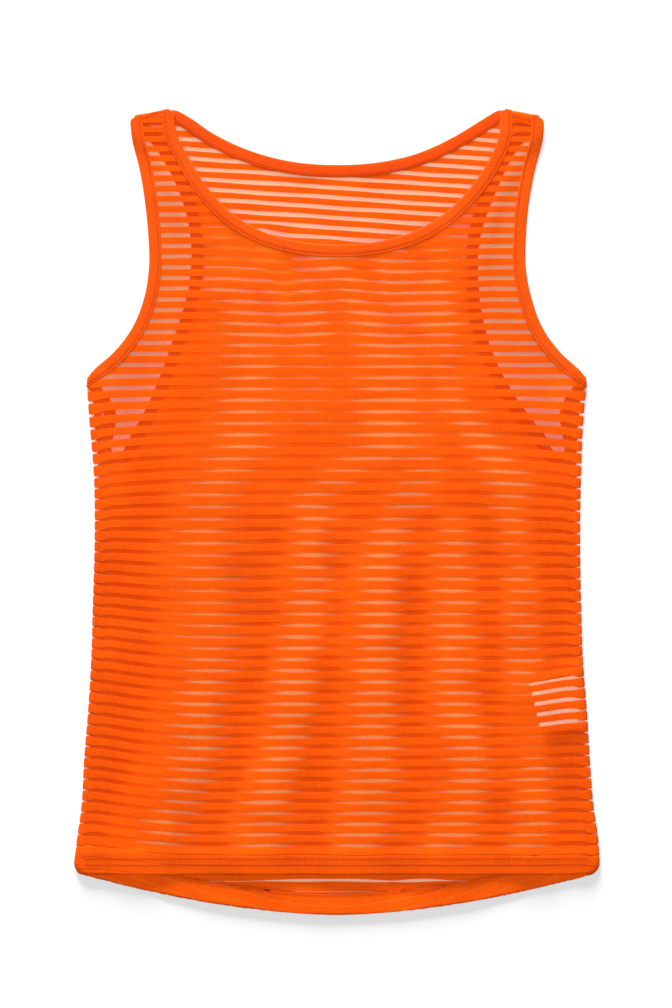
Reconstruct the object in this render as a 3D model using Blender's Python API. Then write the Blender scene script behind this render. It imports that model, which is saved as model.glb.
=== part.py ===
"""A sleeveless knit tank top laid flat, front up, with its shoulders towards +Y.

The back panel lies on the ground and the front panel lies on it. The back is longer, with a
dropped hem, and its armholes are cut deeper, so the front hangs over them down to the ground.
Narrow bindings run round the neck and both armholes and turn over at the shoulders and sides.
Tables and sizes are in millimetres. Heights run up the garment from the back hem's lowest point.
"""
import math

import bmesh
import bpy
import numpy as np
from mathutils import Vector
from mathutils.geometry import delaunay_2d_cdt

MM = 0.001
OVERALL_LENGTH = 683.8
SEAM_GAP = 0.3

# Cloth walls
PANEL_WALL = 1.0
BINDING_WALL = 1.3
BINDING_WIDTH = 10.7
LABEL_WALL = 1.0

# Hems: cloth turned up and stitched, so thicker than the panel below its upper edge
HEM_DEPTH = 18.7
HEM_EXTRA = 0.5
HEM_STEP = 1.2
FRONT_HEM_HEIGHT = 34.3
BACK_HEM_DROP = 34.5
BACK_HEM_REACH = 218.0
BACK_HEM_POWER = 1.75

# Where the front lies higher or lower: over the back's hem, over the label, beside the back
OVER_BACK_HEM = (58.0, 80.0)
LABEL_MARGIN = 1.6
LABEL_SLOPE = 15.0
SAG_START = 3.0
SAG_END = 16.0

# Spacing of the points that make the solids
HEM_SPACING = 12.0
SIDE_SPACING = 9.0
BINDING_SPACING = 6.5
FRONT_CELL = (14.0, 24.0)
BACK_CELL = (30.0, 48.0)
EDGE_CLEARANCE = 5.0
FOLD_STEPS = 5

# A binding turns to lie along a fold line over this last stretch of its edge.
BINDING_TURN = 22.0
UNDERARM_FOLD = (0.13, -1.0)

# The shoulder folds slope up from the armhole to the neck, each side the same.
SHOULDER_OUTER = (175.6, 675.2)
SHOULDER_NECK = (138.0, 682.6)
SHOULDER_SEAM_DROP = {-1: 4.5, 1: 8.5}

# Side edges of the body, where front and back are sewn: distance from the mid line.
SIDE_EDGE = (
    # height, left, right
    (34.8, 214.5, 213.5),
    (36.2, 218.6, 218.0),
    (41.0, 222.0, 221.6),
    (54.3, 221.3, 222.0),
    (95.0, 216.2, 217.1),
    (128.9, 214.5, 214.5),
    (169.6, 211.2, 212.0),
    (210.3, 208.6, 208.8),
    (264.6, 206.9, 206.9),
    (318.8, 205.4, 206.1),
    (373.1, 206.1, 206.9),
    (420.6, 210.0, 209.0),
    (444.0, 211.6, 211.2),
)

# Outer edge of the front armhole, from the shoulder fold to the underarm.
FRONT_ARMHOLE = (
    # height, left, right
    (675.2, 175.6, 175.6),
    (658.0, 173.8, 174.7),
    (630.9, 167.1, 167.9),
    (603.8, 162.8, 162.8),
    (576.6, 160.0, 160.3),
    (549.5, 159.4, 160.0),
    (522.4, 163.5, 165.0),
    (495.2, 174.7, 175.5),
    (474.9, 190.8, 190.8),
    (463.0, 204.4, 203.8),
    (457.0, 210.0, 209.6),
)

# Outer edge of the back armhole, from the shoulder fold down to its lowest point beside the
# side seam and up again to the underarm.
BACK_ARMHOLE = (
    # height, left, right
    (675.2, 175.6, 175.6),
    (664.0, 168.0, 168.5),
    (650.0, 154.0, 154.0),
    (635.0, 144.5, 145.0),
    (612.0, 133.5, 134.5),
    (576.0, 124.2, 122.0),
    (548.0, 123.8, 119.4),
    (520.7, 128.0, 121.3),
    (482.5, 140.8, 129.8),
    (453.7, 151.0, 142.5),
    (424.0, 164.5, 162.0),
    (403.6, 176.0, 178.0),
    (391.5, 182.5, 184.5),
    (388.0, 187.5, 188.8),
    (392.5, 190.8, 192.2),
    (407.0, 189.2, 191.2),
    (425.0, 187.4, 188.8),
    (438.0, 193.0, 193.8),
    (448.5, 202.2, 201.6),
    (457.0, 210.0, 209.6),
)

# Neck edge of the front, from the left shoulder fold to the right one.
FRONT_NECK = (
    # across, height
    (-138.0, 682.6),
    (-136.4, 664.3),
    (-125.1, 640.3),
    (-108.2, 613.7),
    (-88.7, 594.0),
    (-62.0, 578.3),
    (-32.0, 570.0),
    (0.0, 567.5),
    (34.0, 570.1),
    (65.0, 578.8),
    (88.8, 592.3),
    (108.5, 610.5),
    (126.5, 634.8),
    (137.6, 660.5),
    (138.0, 682.6),
)

# Neck edge of the back, from the left shoulder fold to the right one.
BACK_NECK = (
    # across, height
    (-138.0, 682.6),
    (-128.0, 677.3),
    (-103.5, 661.0),
    (-72.0, 646.7),
    (-38.0, 638.0),
    (0.0, 635.2),
    (36.5, 637.6),
    (68.0, 644.9),
    (98.0, 658.4),
    (125.0, 674.8),
    (138.0, 682.6),
)

# Soft folds of the front, which rise off the back and run down to the hem.
FRONT_FOLDS = (
    # across at height 75, 130, 200, 265 and at the top end, top end, half width, rise
    (-167.0, -140.0, -128.0, -124.0, -120.0, 420.0, 46.0, 2.4),
    (-72.0, -52.0, -38.0, -31.0, -20.0, 405.0, 36.0, 2.8),
    (15.0, 22.0, 24.0, 27.0, 40.0, 400.0, 38.0, 2.8),
    (96.0, 98.0, 97.0, 97.0, 92.0, 390.0, 38.0, 2.6),
    (166.0, 160.0, 157.0, 156.0, 150.0, 400.0, 30.0, 2.2),
)
FOLD_HEIGHTS = (75.0, 130.0, 200.0, 265.0)
FOLD_SHARE_AT_HEM = 0.65
FOLD_FULL_HEIGHT = 110.0
FOLD_FADE = 170.0

# Corners of the blank care label, whose outer end is caught in the right side seam.
CARE_LABEL = (
    # across, height
    (163.0, 195.5),
    (208.2, 203.5),
    (210.8, 163.5),
    (173.0, 154.5),
)

FINISHES = {
    # name: base colour, roughness
    "sheer_stripe_jersey": ((0.93, 0.12, 0.01), 0.8),
    "self_binding": ((0.90, 0.10, 0.01), 0.75),
    "label_satin": ((0.90, 0.88, 0.84), 0.5),
}


def clear_scene():
    for old in list(bpy.data.objects):
        bpy.data.objects.remove(old, do_unlink=True)


def finish(name):
    colour, roughness = FINISHES[name]
    material = bpy.data.materials.new(name)
    material.use_nodes = True
    shader = material.node_tree.nodes["Principled BSDF"]
    shader.inputs["Base Color"].default_value = (*colour, 1.0)
    shader.inputs["Roughness"].default_value = roughness
    shader.inputs["Metallic"].default_value = 0.0
    return material


# --- plane curves ----------------------------------------------------------------------------


def smooth_curve(points, step):
    """A smooth curve through the points, with no two of its own more than step apart."""
    points = np.asarray(points, float)
    chords = np.linalg.norm(np.diff(points, axis=0), axis=1)
    place = np.concatenate([[0.0], np.cumsum(chords)])
    slopes = np.gradient(points, place, axis=0)
    curve = []
    for i, chord in enumerate(chords):
        count = max(1, math.ceil(chord / step))
        for share in np.arange(count) / count:
            h_start = 2 * share**3 - 3 * share**2 + 1
            h_end = 1 - h_start
            h_leave = share**3 - 2 * share**2 + share
            h_reach = share**3 - share**2
            curve.append(
                h_start * points[i]
                + h_end * points[i + 1]
                + chord * (h_leave * slopes[i] + h_reach * slopes[i + 1])
            )
    curve.append(points[-1])
    return np.array(curve)


def side_points(table, side):
    """One side's column of a left and right table, as points across and up."""
    column = 1 if side < 0 else 2
    return np.array([(side * row[column], row[0]) for row in table])


def smoothstep(low, high, value):
    share = np.clip((np.asarray(value, float) - low) / (high - low), 0.0, 1.0)
    return share * share * (3 - 2 * share)


def unit(vector):
    return vector / np.linalg.norm(vector, axis=-1, keepdims=True)


def inner_edge(outer, inward, start_along, end_along):
    """A binding's other edge, which turns at both ends to lie along a fold line."""
    tangents = unit(np.gradient(outer, axis=0))
    across = inward * np.stack([-tangents[:, 1], tangents[:, 0]], axis=1)
    run = np.concatenate([[0.0], np.cumsum(np.linalg.norm(np.diff(outer, axis=0), axis=1))])
    for along, distance in ((start_along, run), (end_along, run[-1] - run)):
        share = 1 - smoothstep(0.0, BINDING_TURN, distance)[:, None]
        across = unit(across * (1 - share) + np.asarray(along) * share)
    return outer + BINDING_WIDTH * across


def inside(points, outline):
    """True for each point that lies inside the closed outline."""
    x, y = points[:, 0, None], points[:, 1, None]
    x0, y0 = outline[:, 0], outline[:, 1]
    x1, y1 = np.roll(x0, -1), np.roll(y0, -1)
    spans = (y0 > y) != (y1 > y)
    rise = np.where(y1 == y0, 1.0, y1 - y0)
    return (spans & (x < x0 + (y - y0) * (x1 - x0) / rise)).sum(axis=1) % 2 == 1


def distance_to(points, line, closed=True):
    """Each point's distance from a line of straight stretches."""
    start = line if closed else line[:-1]
    along = (np.roll(line, -1, axis=0) if closed else line[1:]) - start
    offset = points[:, None] - start
    length = np.maximum((along**2).sum(axis=1), 1e-9)
    share = np.clip((offset * along).sum(axis=2) / length, 0.0, 1.0)
    return np.linalg.norm(offset - share[..., None] * along, axis=2).min(axis=1)


def distance_outside(points, outline):
    points = np.atleast_2d(np.asarray(points, float))
    return np.where(inside(points, outline), 0.0, distance_to(points, outline))


# --- the edges that the pieces share ---------------------------------------------------------


def back_hem_height(across):
    return BACK_HEM_DROP * (np.abs(across) / BACK_HEM_REACH) ** BACK_HEM_POWER


def shoulder_line(side):
    """The unit vector along a shoulder fold, from the armhole to the neck."""
    return unit(np.array([-side * (SHOULDER_OUTER[0] - SHOULDER_NECK[0]),
                          SHOULDER_NECK[1] - SHOULDER_OUTER[1]]))


def armhole_edges(table, side):
    """Outer and inner edge of an armhole binding on one layer, from shoulder to underarm."""
    outer = smooth_curve(side_points(table, side), BINDING_SPACING)
    underarm = unit(np.array([side * UNDERARM_FOLD[0], UNDERARM_FOLD[1]]))
    inner = inner_edge(outer, -side, shoulder_line(side), underarm)
    return outer, inner


def neck_edges(table):
    """Outer and inner edge of the neck binding on one layer, from left to right."""
    outer = smooth_curve(table, BINDING_SPACING)
    inner = inner_edge(outer, -1, -shoulder_line(-1), -shoulder_line(1))
    return outer, inner


def moved_in(outer, inner, gap):
    """The inner edge of a band, moved on by a gap for the panel that meets it."""
    return inner + gap * unit(inner - outer)


def from_seam(edge, drop):
    """An edge that starts at the shoulder fold, cut off where its panel ends below the fold."""
    if drop == 0.0:
        return edge
    top = edge[0][1] - drop
    first = int(np.argmax(edge[:, 1] < top - SEAM_GAP))
    above, below = edge[first - 1], edge[first]
    start = above + (above[1] - top) / (above[1] - below[1]) * (below - above)
    return np.vstack([start, edge[first:]])


def side_edge(side):
    """The body's side edge from the hem corner up to the underarm."""
    return smooth_curve(side_points(SIDE_EDGE, side), SIDE_SPACING)


def panel_outline(armhole_table, neck_table, hem, seam_drops):
    """A panel's cut edge inside its bindings, anticlockwise, and its two shoulder ends."""
    neck = moved_in(*neck_edges(neck_table), SEAM_GAP)
    middle = len(neck) // 2
    halves = {-1: neck[: middle + 1], 1: neck[:middle:-1]}
    armholes, shoulders = {}, {}
    for side, drop in seam_drops.items():
        armhole = moved_in(*armhole_edges(armhole_table, side), SEAM_GAP)
        armholes[side] = from_seam(armhole, drop)
        halves[side] = from_seam(halves[side], drop)
        shoulders[side] = (armholes[side][0], halves[side][0])
    outline = np.vstack([
        hem, side_edge(1), armholes[1][::-1], halves[1],
        halves[-1][::-1], armholes[-1], side_edge(-1)[::-1]])
    return outline, shoulders


def hem_points():
    """Places across a hem, between its two corners."""
    _, left, right = SIDE_EDGE[0]
    count = round((left + right) / HEM_SPACING)
    return np.linspace(-left, right, count + 1)[1:-1]


def front_outline():
    across = hem_points()
    hem = np.stack([across, np.full_like(across, FRONT_HEM_HEIGHT)], axis=1)
    return panel_outline(FRONT_ARMHOLE, FRONT_NECK, hem, SHOULDER_SEAM_DROP)


def back_outline():
    across = hem_points()
    hem = np.stack([across, back_hem_height(across)], axis=1)
    return panel_outline(BACK_ARMHOLE, BACK_NECK, hem, {-1: 0.0, 1: 0.0})


def back_layer_outline():
    """All that the back layer covers, with its bindings."""
    across = hem_points()
    hem = np.stack([across, back_hem_height(across)], axis=1)
    right = armhole_edges(BACK_ARMHOLE, 1)[0][::-1]
    left = armhole_edges(BACK_ARMHOLE, -1)[0]
    neck = neck_edges(BACK_NECK)[0][::-1]
    return np.vstack([hem, side_edge(1), right, neck, left, side_edge(-1)[::-1]])


# --- heights off the ground ------------------------------------------------------------------


def fold_rise(points):
    """How far the front's soft folds lift it off the back."""
    across, height = points[:, 0], points[:, 1]
    rise = np.zeros(len(points))
    for *track, top, half_width, crest in FRONT_FOLDS:
        middle = np.interp(height, (*FOLD_HEIGHTS, top), track)
        share = np.clip(np.abs(across - middle) / half_width, 0.0, 1.0)
        at_hem = smoothstep(FRONT_HEM_HEIGHT, FOLD_FULL_HEIGHT, height)
        along = FOLD_SHARE_AT_HEM + (1 - FOLD_SHARE_AT_HEM) * at_hem
        along = along * (1 - smoothstep(top - FOLD_FADE, top, height))
        rise += crest * along * np.cos(share * math.pi / 2) ** 2
    return rise


def front_underside(points):
    """The height of the front layer's underside: on the back, or on the ground beside it."""
    points = np.atleast_2d(np.asarray(points, float))
    on_back = PANEL_WALL + SEAM_GAP
    beside = distance_outside(points, BACK_LAYER)
    rest = on_back * (1 - smoothstep(SAG_START, SAG_END, beside))
    over_hem = HEM_EXTRA * (1 - smoothstep(*OVER_BACK_HEM, points[:, 1]))
    from_label = distance_outside(points, np.array(CARE_LABEL))
    near_label = 1 - smoothstep(2 * LABEL_MARGIN, LABEL_SLOPE, from_label)
    over_label = (LABEL_WALL + SEAM_GAP) * near_label
    return rest + over_hem + np.maximum(fold_rise(points), over_label)


def front_hem_wall(points):
    above = points[:, 1] - FRONT_HEM_HEIGHT - HEM_DEPTH
    return PANEL_WALL + HEM_EXTRA * (1 - smoothstep(0.0, HEM_STEP, above))


def back_hem_wall(points):
    above = points[:, 1] - back_hem_height(points[:, 0]) - HEM_DEPTH
    return PANEL_WALL + HEM_EXTRA * (1 - smoothstep(0.0, HEM_STEP, above))


# --- solids ----------------------------------------------------------------------------------


def placed(points, heights):
    """Points of the garment in metres, centred on the ground."""
    return [
        (x * MM, (y - OVERALL_LENGTH / 2) * MM, z * MM)
        for (x, y), z in zip(points, np.broadcast_to(heights, len(points)))
    ]


def make_object(name, mesh, material):
    mesh.normal_update()
    bmesh.ops.recalc_face_normals(mesh, faces=mesh.faces[:])
    data = bpy.data.meshes.new(name)
    mesh.to_mesh(data)
    mesh.free()
    data.materials.append(material)
    data.shade_smooth()
    data.set_sharp_from_angle(angle=math.radians(35))
    made = bpy.data.objects.new(name, data)
    bpy.context.scene.collection.objects.link(made)
    return made


def inner_points(outline, lines, cell):
    """A staggered grid inside the outline, clear of its edge and of the lines."""
    low, high = outline.min(axis=0), outline.max(axis=0)
    across = np.arange(low[0], high[0], cell[0])
    up = np.arange(low[1], high[1], cell[1])
    grid = np.array([(x + j % 2 * cell[0] / 2, y) for j, y in enumerate(up) for x in across])
    grid = grid[inside(grid, outline)]
    grid = grid[distance_to(grid, outline) > EDGE_CLEARANCE]
    for line in lines:
        grid = grid[distance_to(grid, line, closed=False) > EDGE_CLEARANCE]
    return grid


def hem_lines(hem_height):
    """The two edges of the step where a hem's turned cloth ends."""
    across = hem_points()[1:-1]
    line = np.stack([across, hem_height(across) + HEM_DEPTH], axis=1)
    return [line, line + (0.0, HEM_STEP)]


def sag_lines():
    """Where the front starts to come down to the ground, just outside each back armhole."""
    lines = []
    for side in (-1, 1):
        outer, inner = armhole_edges(BACK_ARMHOLE, side)
        line = (outer - SAG_START * unit(inner - outer))[::2]
        front_edge = armhole_edges(FRONT_ARMHOLE, side)[1]
        over_panel = inside(
            line, np.vstack([front_edge, (0.0, line[-1][1]), (0.0, OVERALL_LENGTH)]))
        line = line[over_panel | (line[:, 1] < front_edge[-1][1])]
        lines.append(line[distance_to(line, front_edge, closed=False) > EDGE_CLEARANCE])
    return lines


def label_line():
    """Just outside the care label's three free sides, from its top end round to its lower one."""
    corners = np.array(CARE_LABEL)
    corners = corners + LABEL_MARGIN * np.sign(corners - corners.mean(axis=0))
    stretches = [corners[i] + np.linspace(0, 1, 4)[:, None] * (corners[j] - corners[i])
                 for i, j in ((1, 0), (0, 3), (3, 2))]
    return np.vstack([stretches[0][1:], stretches[1][1:-1], stretches[2][:-1]])


def panel(outline, lines, underside, wall, cell):
    """A cloth wall over an outline, with its cloth's edges and bends along the lines."""
    points = np.vstack([outline, *lines, inner_points(outline, lines, cell)])
    count = first = len(outline)
    edges = [(i, (i + 1) % count) for i in range(count)]
    for line in lines:
        edges += [(i, i + 1) for i in range(first, first + len(line) - 1)]
        first += len(line)
    flat, _, triangles, *_ = delaunay_2d_cdt(
        [Vector(p) for p in points], edges, [list(range(count))], 1, 1e-4)
    flat = np.array([tuple(p) for p in flat])
    bottom = underside(flat)
    mesh = bmesh.new()
    low = [mesh.verts.new(p) for p in placed(flat, bottom)]
    high = [mesh.verts.new(p) for p in placed(flat, bottom + wall(flat))]
    for a, b, c in triangles:
        mesh.faces.new((high[a], high[b], high[c]))
        mesh.faces.new((low[c], low[b], low[a]))
    partner = dict(zip(high, low))
    rims = [e for e in mesh.edges if len(e.link_faces) == 1 and e.verts[0] in partner]
    for edge in rims:
        a, b = edge.verts
        mesh.faces.new((a, b, partner[b], partner[a]))
    return mesh


def turn_over_shoulder(mesh, fold_ends, seam_ends):
    """Carries the back over the shoulder fold and down to its seam with the front."""
    ends = [Vector(p) for p in placed(np.array(fold_ends), 0.0)]
    middle = (ends[0] + ends[1]) / 2
    along = (ends[1] - ends[0]).normalized()
    if along.x < 0:
        along = -along
    wall = min(
        (f for f in mesh.faces if abs(f.normal.z) < 0.5),
        key=lambda f: (f.calc_center_median().xy - middle.xy).length)
    turned = bmesh.ops.spin(
        mesh, geom=[wall, *wall.edges, *wall.verts],
        cent=middle + Vector((0, 0, (PANEL_WALL + SEAM_GAP / 2) * MM)), axis=along,
        angle=math.pi, steps=FOLD_STEPS, use_merge=False, use_duplicate=False)
    last = [g for g in turned["geom_last"] if isinstance(g, bmesh.types.BMFace)]
    pulled = bmesh.ops.extrude_face_region(mesh, geom=last)
    bmesh.ops.delete(mesh, geom=last, context="FACES_ONLY")
    for tip in (g for g in pulled["geom"] if isinstance(g, bmesh.types.BMVert)):
        nearer = min((0, 1), key=lambda i: (tip.co.xy - ends[i].xy).length)
        across, height = seam_ends[nearer]
        tip.co.xy = placed([(across, height + SEAM_GAP)], 0.0)[0][:2]


def ribbon(stations):
    """A closed band through stations of four corners: outer top and bottom, inner bottom and top."""
    mesh = bmesh.new()
    rings = [[mesh.verts.new(corner) for corner in station] for station in stations]
    for here, there in zip(rings, rings[1:] + rings[:1]):
        for a, b in zip(range(4), (1, 2, 3, 0)):
            mesh.faces.new((here[a], here[b], there[b], there[a]))
    return mesh


def front_stations(outer, inner):
    low_outer, low_inner = front_underside(outer), front_underside(inner)
    return list(zip(
        placed(outer, low_outer + BINDING_WALL), placed(outer, low_outer),
        placed(inner, low_inner), placed(inner, low_inner + BINDING_WALL)))


def back_stations(outer, inner):
    """The band face down: its outside is the underside."""
    return list(zip(
        placed(outer, 0.0), placed(outer, PANEL_WALL),
        placed(inner, PANEL_WALL), placed(inner, 0.0)))


def fold_stations(outer, inner, away):
    """The half turn from the front layer round to the back one, on a fold line."""
    middle = PANEL_WALL + SEAM_GAP / 2
    made = []
    for step in range(1, FOLD_STEPS):
        turn = math.pi * step / FOLD_STEPS
        wall = BINDING_WALL + (PANEL_WALL - BINDING_WALL) * step / FOLD_STEPS
        corners = []
        for point, radius in ((outer, SEAM_GAP / 2 + wall), (outer, SEAM_GAP / 2),
                              (inner, SEAM_GAP / 2), (inner, SEAM_GAP / 2 + wall)):
            out = point + radius * math.sin(turn) * away
            corners += placed([out], middle + radius * math.cos(turn))
        made.append(tuple(corners))
    return made


def shoulder_away(side):
    slope = shoulder_line(side)
    return np.array([side * slope[1], abs(slope[0])])


def neck_binding():
    front_outer, front_inner = neck_edges(FRONT_NECK)
    back_outer, back_inner = neck_edges(BACK_NECK)
    stations = front_stations(front_outer, front_inner)
    stations += fold_stations(front_outer[-1], front_inner[-1], shoulder_away(1))
    stations += back_stations(back_outer[::-1], back_inner[::-1])
    stations += fold_stations(front_outer[0], front_inner[0], shoulder_away(-1))[::-1]
    return ribbon(stations)


def armhole_binding(side):
    front_outer, front_inner = armhole_edges(FRONT_ARMHOLE, side)
    back_outer, back_inner = armhole_edges(BACK_ARMHOLE, side)
    stations = front_stations(front_outer, front_inner)
    stations += fold_stations(front_outer[-1], front_inner[-1], np.array([side * 1.0, 0.0]))
    stations += back_stations(back_outer[::-1], back_inner[::-1])
    stations += fold_stations(front_outer[0], front_inner[0], shoulder_away(side))[::-1]
    return ribbon(stations)


def care_label():
    mesh = bmesh.new()
    low = PANEL_WALL + SEAM_GAP
    base = mesh.faces.new([mesh.verts.new(p) for p in placed(np.array(CARE_LABEL), low)])
    lifted = bmesh.ops.extrude_face_region(mesh, geom=[base], use_keep_orig=True)
    tips = [g for g in lifted["geom"] if isinstance(g, bmesh.types.BMVert)]
    bmesh.ops.translate(mesh, verts=tips, vec=Vector((0, 0, LABEL_WALL * MM)))
    return mesh


def flat_on_ground(points):
    return np.zeros(len(points))


def front_hem_height(across):
    return np.full_like(across, FRONT_HEM_HEIGHT)


BACK_LAYER = back_layer_outline()


def main():
    clear_scene()
    back_cut, shoulder_folds = back_outline()
    front_cut, shoulder_seams = front_outline()
    back = panel(back_cut, hem_lines(back_hem_height), flat_on_ground, back_hem_wall, BACK_CELL)
    for side in (-1, 1):
        turn_over_shoulder(back, shoulder_folds[side], shoulder_seams[side])
    bends = [*hem_lines(front_hem_height), *sag_lines(), label_line()]
    front = panel(front_cut, bends, front_underside, front_hem_wall, FRONT_CELL)
    make_object("back_panel", back, finish("sheer_stripe_jersey"))
    make_object("front_panel", front, finish("sheer_stripe_jersey"))
    make_object("neck_binding", neck_binding(), finish("self_binding"))
    make_object("armhole_binding_left", armhole_binding(-1), finish("self_binding"))
    make_object("armhole_binding_right", armhole_binding(1), finish("self_binding"))
    make_object("care_label", care_label(), finish("label_satin"))


main()
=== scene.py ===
"""A sleeveless knit tank top in opaque and sheer stripes, laid flat with its front up.

Tables and sizes of the garment are in millimetres. Heights run up the garment from the back
hem's lowest point, and courses are counted up it, one for each sheer stripe.
"""

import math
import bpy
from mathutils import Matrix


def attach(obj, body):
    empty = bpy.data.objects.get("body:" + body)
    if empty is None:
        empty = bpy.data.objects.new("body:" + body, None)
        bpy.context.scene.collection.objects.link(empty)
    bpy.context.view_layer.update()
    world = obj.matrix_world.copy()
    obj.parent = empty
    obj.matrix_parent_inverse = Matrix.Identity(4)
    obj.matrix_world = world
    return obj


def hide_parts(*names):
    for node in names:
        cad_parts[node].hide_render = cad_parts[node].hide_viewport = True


bl_info = {
    "name": "Striped Tank Top",
    "version": (1, 0, 0),
    "blender": (4, 5, 0),
    "location": "3D View > Sidebar > Tank Top",
    "description": "Builds a flat striped knit tank top, its bindings, hems and sewing",
    "category": "Add Mesh",
}

import bmesh
import bpy
import numpy as np
from bpy.props import FloatProperty, FloatVectorProperty, PointerProperty
from mathutils import Vector

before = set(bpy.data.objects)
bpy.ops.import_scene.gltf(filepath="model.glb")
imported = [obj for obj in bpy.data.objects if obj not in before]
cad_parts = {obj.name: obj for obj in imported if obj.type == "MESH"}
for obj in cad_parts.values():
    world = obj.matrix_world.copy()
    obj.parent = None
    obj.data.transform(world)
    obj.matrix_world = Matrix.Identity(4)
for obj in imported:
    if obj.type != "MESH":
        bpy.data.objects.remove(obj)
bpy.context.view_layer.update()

MM = 0.001
SIDES = ((-1, "left"), (1, "right"))
OVERALL_LENGTH = 683.8
SEAM_GAP = 0.3
PANEL_WALL = 1.0
BINDING_WALL = 1.3
BINDING_WIDTH = 10.7
LABEL_WALL = 1.0

# Hems
HEM_DEPTH = 18.7
HEM_EXTRA = 0.5
HEM_RISE = 3.0
FRONT_HEM_HEIGHT = 34.3
BACK_HEM_DROP = 34.5
BACK_HEM_REACH = 218.0
BACK_HEM_POWER = 1.75

# Where the front lies higher or lower: over the back's hem, over the label, beside the back
OVER_BACK_HEM = (58.0, 80.0)
LABEL_RISE = (3.2, 15.0)
SAG = (3.0, 16.0)

# A binding turns to lie along a fold line over this last stretch of its edge, and its corner
# there is rounded.
BINDING_TURN = 22.0
SHOULDER_CORNER = 4.5
UNDERARM_CORNER = 1.2
BINDING_SPACING = 2.2
UNDERARM_FOLD = (0.13, -1.0)
FOLD_STEPS = 7

# The shoulder folds slope up from the armhole to the neck, each side the same.
SHOULDER_OUTER = (175.6, 675.2)
SHOULDER_NECK = (138.0, 682.6)
SHOULDER_SEAM_DROP = {-1: 4.5, 1: 8.5}

# Side edges of the body, where front and back are sewn: distance from the mid line
SIDE_EDGE = (  # height, left, right
    (34.8, 214.5, 213.5), (36.2, 218.6, 218.0), (41.0, 222.0, 221.6), (54.3, 221.3, 222.0),
    (95.0, 216.2, 217.1), (128.9, 214.5, 214.5), (169.6, 211.2, 212.0), (210.3, 208.6, 208.8),
    (264.6, 206.9, 206.9), (318.8, 205.4, 206.1), (373.1, 206.1, 206.9), (420.6, 210.0, 209.0),
    (444.0, 211.6, 211.2),
)
SIDE_FOOT = SIDE_EDGE[0][0]
WAIST_TOP = SIDE_EDGE[-3][0]
UNDERARM = SIDE_EDGE[-1][0]

# Outer edge of the front armhole, from the shoulder fold to the underarm
FRONT_ARMHOLE = (  # height, left, right
    (675.2, 175.6, 175.6), (658.0, 173.8, 174.7), (630.9, 167.1, 167.9), (603.8, 162.8, 162.8),
    (576.6, 160.0, 160.3), (549.5, 159.4, 160.0), (522.4, 163.5, 165.0), (495.2, 174.7, 175.5),
    (474.9, 190.8, 190.8), (463.0, 204.4, 203.8), (457.0, 210.0, 209.6),
)

# Outer edge of the back armhole, from the shoulder fold down to its lowest point beside the
# side seam and up again to the underarm
BACK_ARMHOLE = (  # height, left, right
    (675.2, 175.6, 175.6), (664.0, 168.0, 168.5), (650.0, 154.0, 154.0), (635.0, 144.5, 145.0),
    (612.0, 133.5, 134.5), (576.0, 124.2, 122.0), (548.0, 123.8, 119.4), (520.7, 128.0, 121.3),
    (482.5, 140.8, 129.8), (453.7, 151.0, 142.5), (424.0, 164.5, 162.0), (403.6, 176.0, 178.0),
    (391.5, 182.5, 184.5), (388.0, 187.5, 188.8), (392.5, 190.8, 192.2), (407.0, 189.2, 191.2),
    (425.0, 187.4, 188.8), (438.0, 193.0, 193.8), (448.5, 202.2, 201.6), (457.0, 210.0, 209.6),
)
BACK_ARMHOLE_NARROW = 112.0

# Neck edges, from the left shoulder fold to the right one
FRONT_NECK = (  # across, height
    (-138.0, 682.6), (-136.4, 664.3), (-125.1, 640.3), (-108.2, 613.7), (-88.7, 594.0),
    (-62.0, 578.3), (-32.0, 570.0), (0.0, 567.5), (34.0, 570.1), (65.0, 578.8), (88.8, 592.3),
    (108.5, 610.5), (126.5, 634.8), (137.6, 660.5), (138.0, 682.6),
)
BACK_NECK = (  # across, height
    (-138.0, 682.6), (-128.0, 677.3), (-103.5, 661.0), (-72.0, 646.7), (-38.0, 638.0),
    (0.0, 635.2), (36.5, 637.6), (68.0, 644.9), (98.0, 658.4), (125.0, 674.8), (138.0, 682.6),
)

# Soft folds of the front, which rise off the back and run down to the hem
FRONT_FOLDS = (  # across at each fold height and at the top end, top end, half width, rise
    (-167.0, -140.0, -128.0, -124.0, -120.0, 420.0, 46.0, 2.4),
    (-72.0, -52.0, -38.0, -31.0, -20.0, 405.0, 36.0, 2.8),
    (15.0, 22.0, 24.0, 27.0, 40.0, 400.0, 38.0, 2.8),
    (96.0, 98.0, 97.0, 97.0, 92.0, 390.0, 38.0, 2.6),
    (166.0, 160.0, 157.0, 156.0, 150.0, 400.0, 30.0, 2.2),
)
FOLD_HEIGHTS = (75.0, 130.0, 200.0, 265.0)
FOLD_SHARE_AT_HEM = 0.65
FOLD_FULL_HEIGHT = 110.0
FOLD_FADE = 170.0
# Painted shade in the troughs between the folds: the rise of a fold that ends it, and the heights
# over which it fades out
TROUGH_RISE = 1.5
TROUGH_FADE = (300.0, 410.0)

# Corners of the blank care label, whose outer end is caught in the right side seam
CARE_LABEL = (  # across, height
    (163.0, 195.5), (208.2, 203.5), (210.8, 163.5), (173.0, 154.5),
)

# Height of one course, an opaque stripe and a sheer one, up the garment
COURSE_PITCH = (  # height, pitch
    (20.0, 9.07), (63.0, 9.07), (131.0, 9.24), (181.0, 9.40), (249.0, 9.67), (300.0, 10.20),
    (343.0, 10.35), (385.0, 10.10), (470.0, 9.33), (555.0, 9.05), (614.0, 8.65), (665.0, 8.00),
)
SHEER_COURSE_HEIGHT = 473.6
COURSE_TABLE = (-60.0, 740.0, 0.5)

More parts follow.
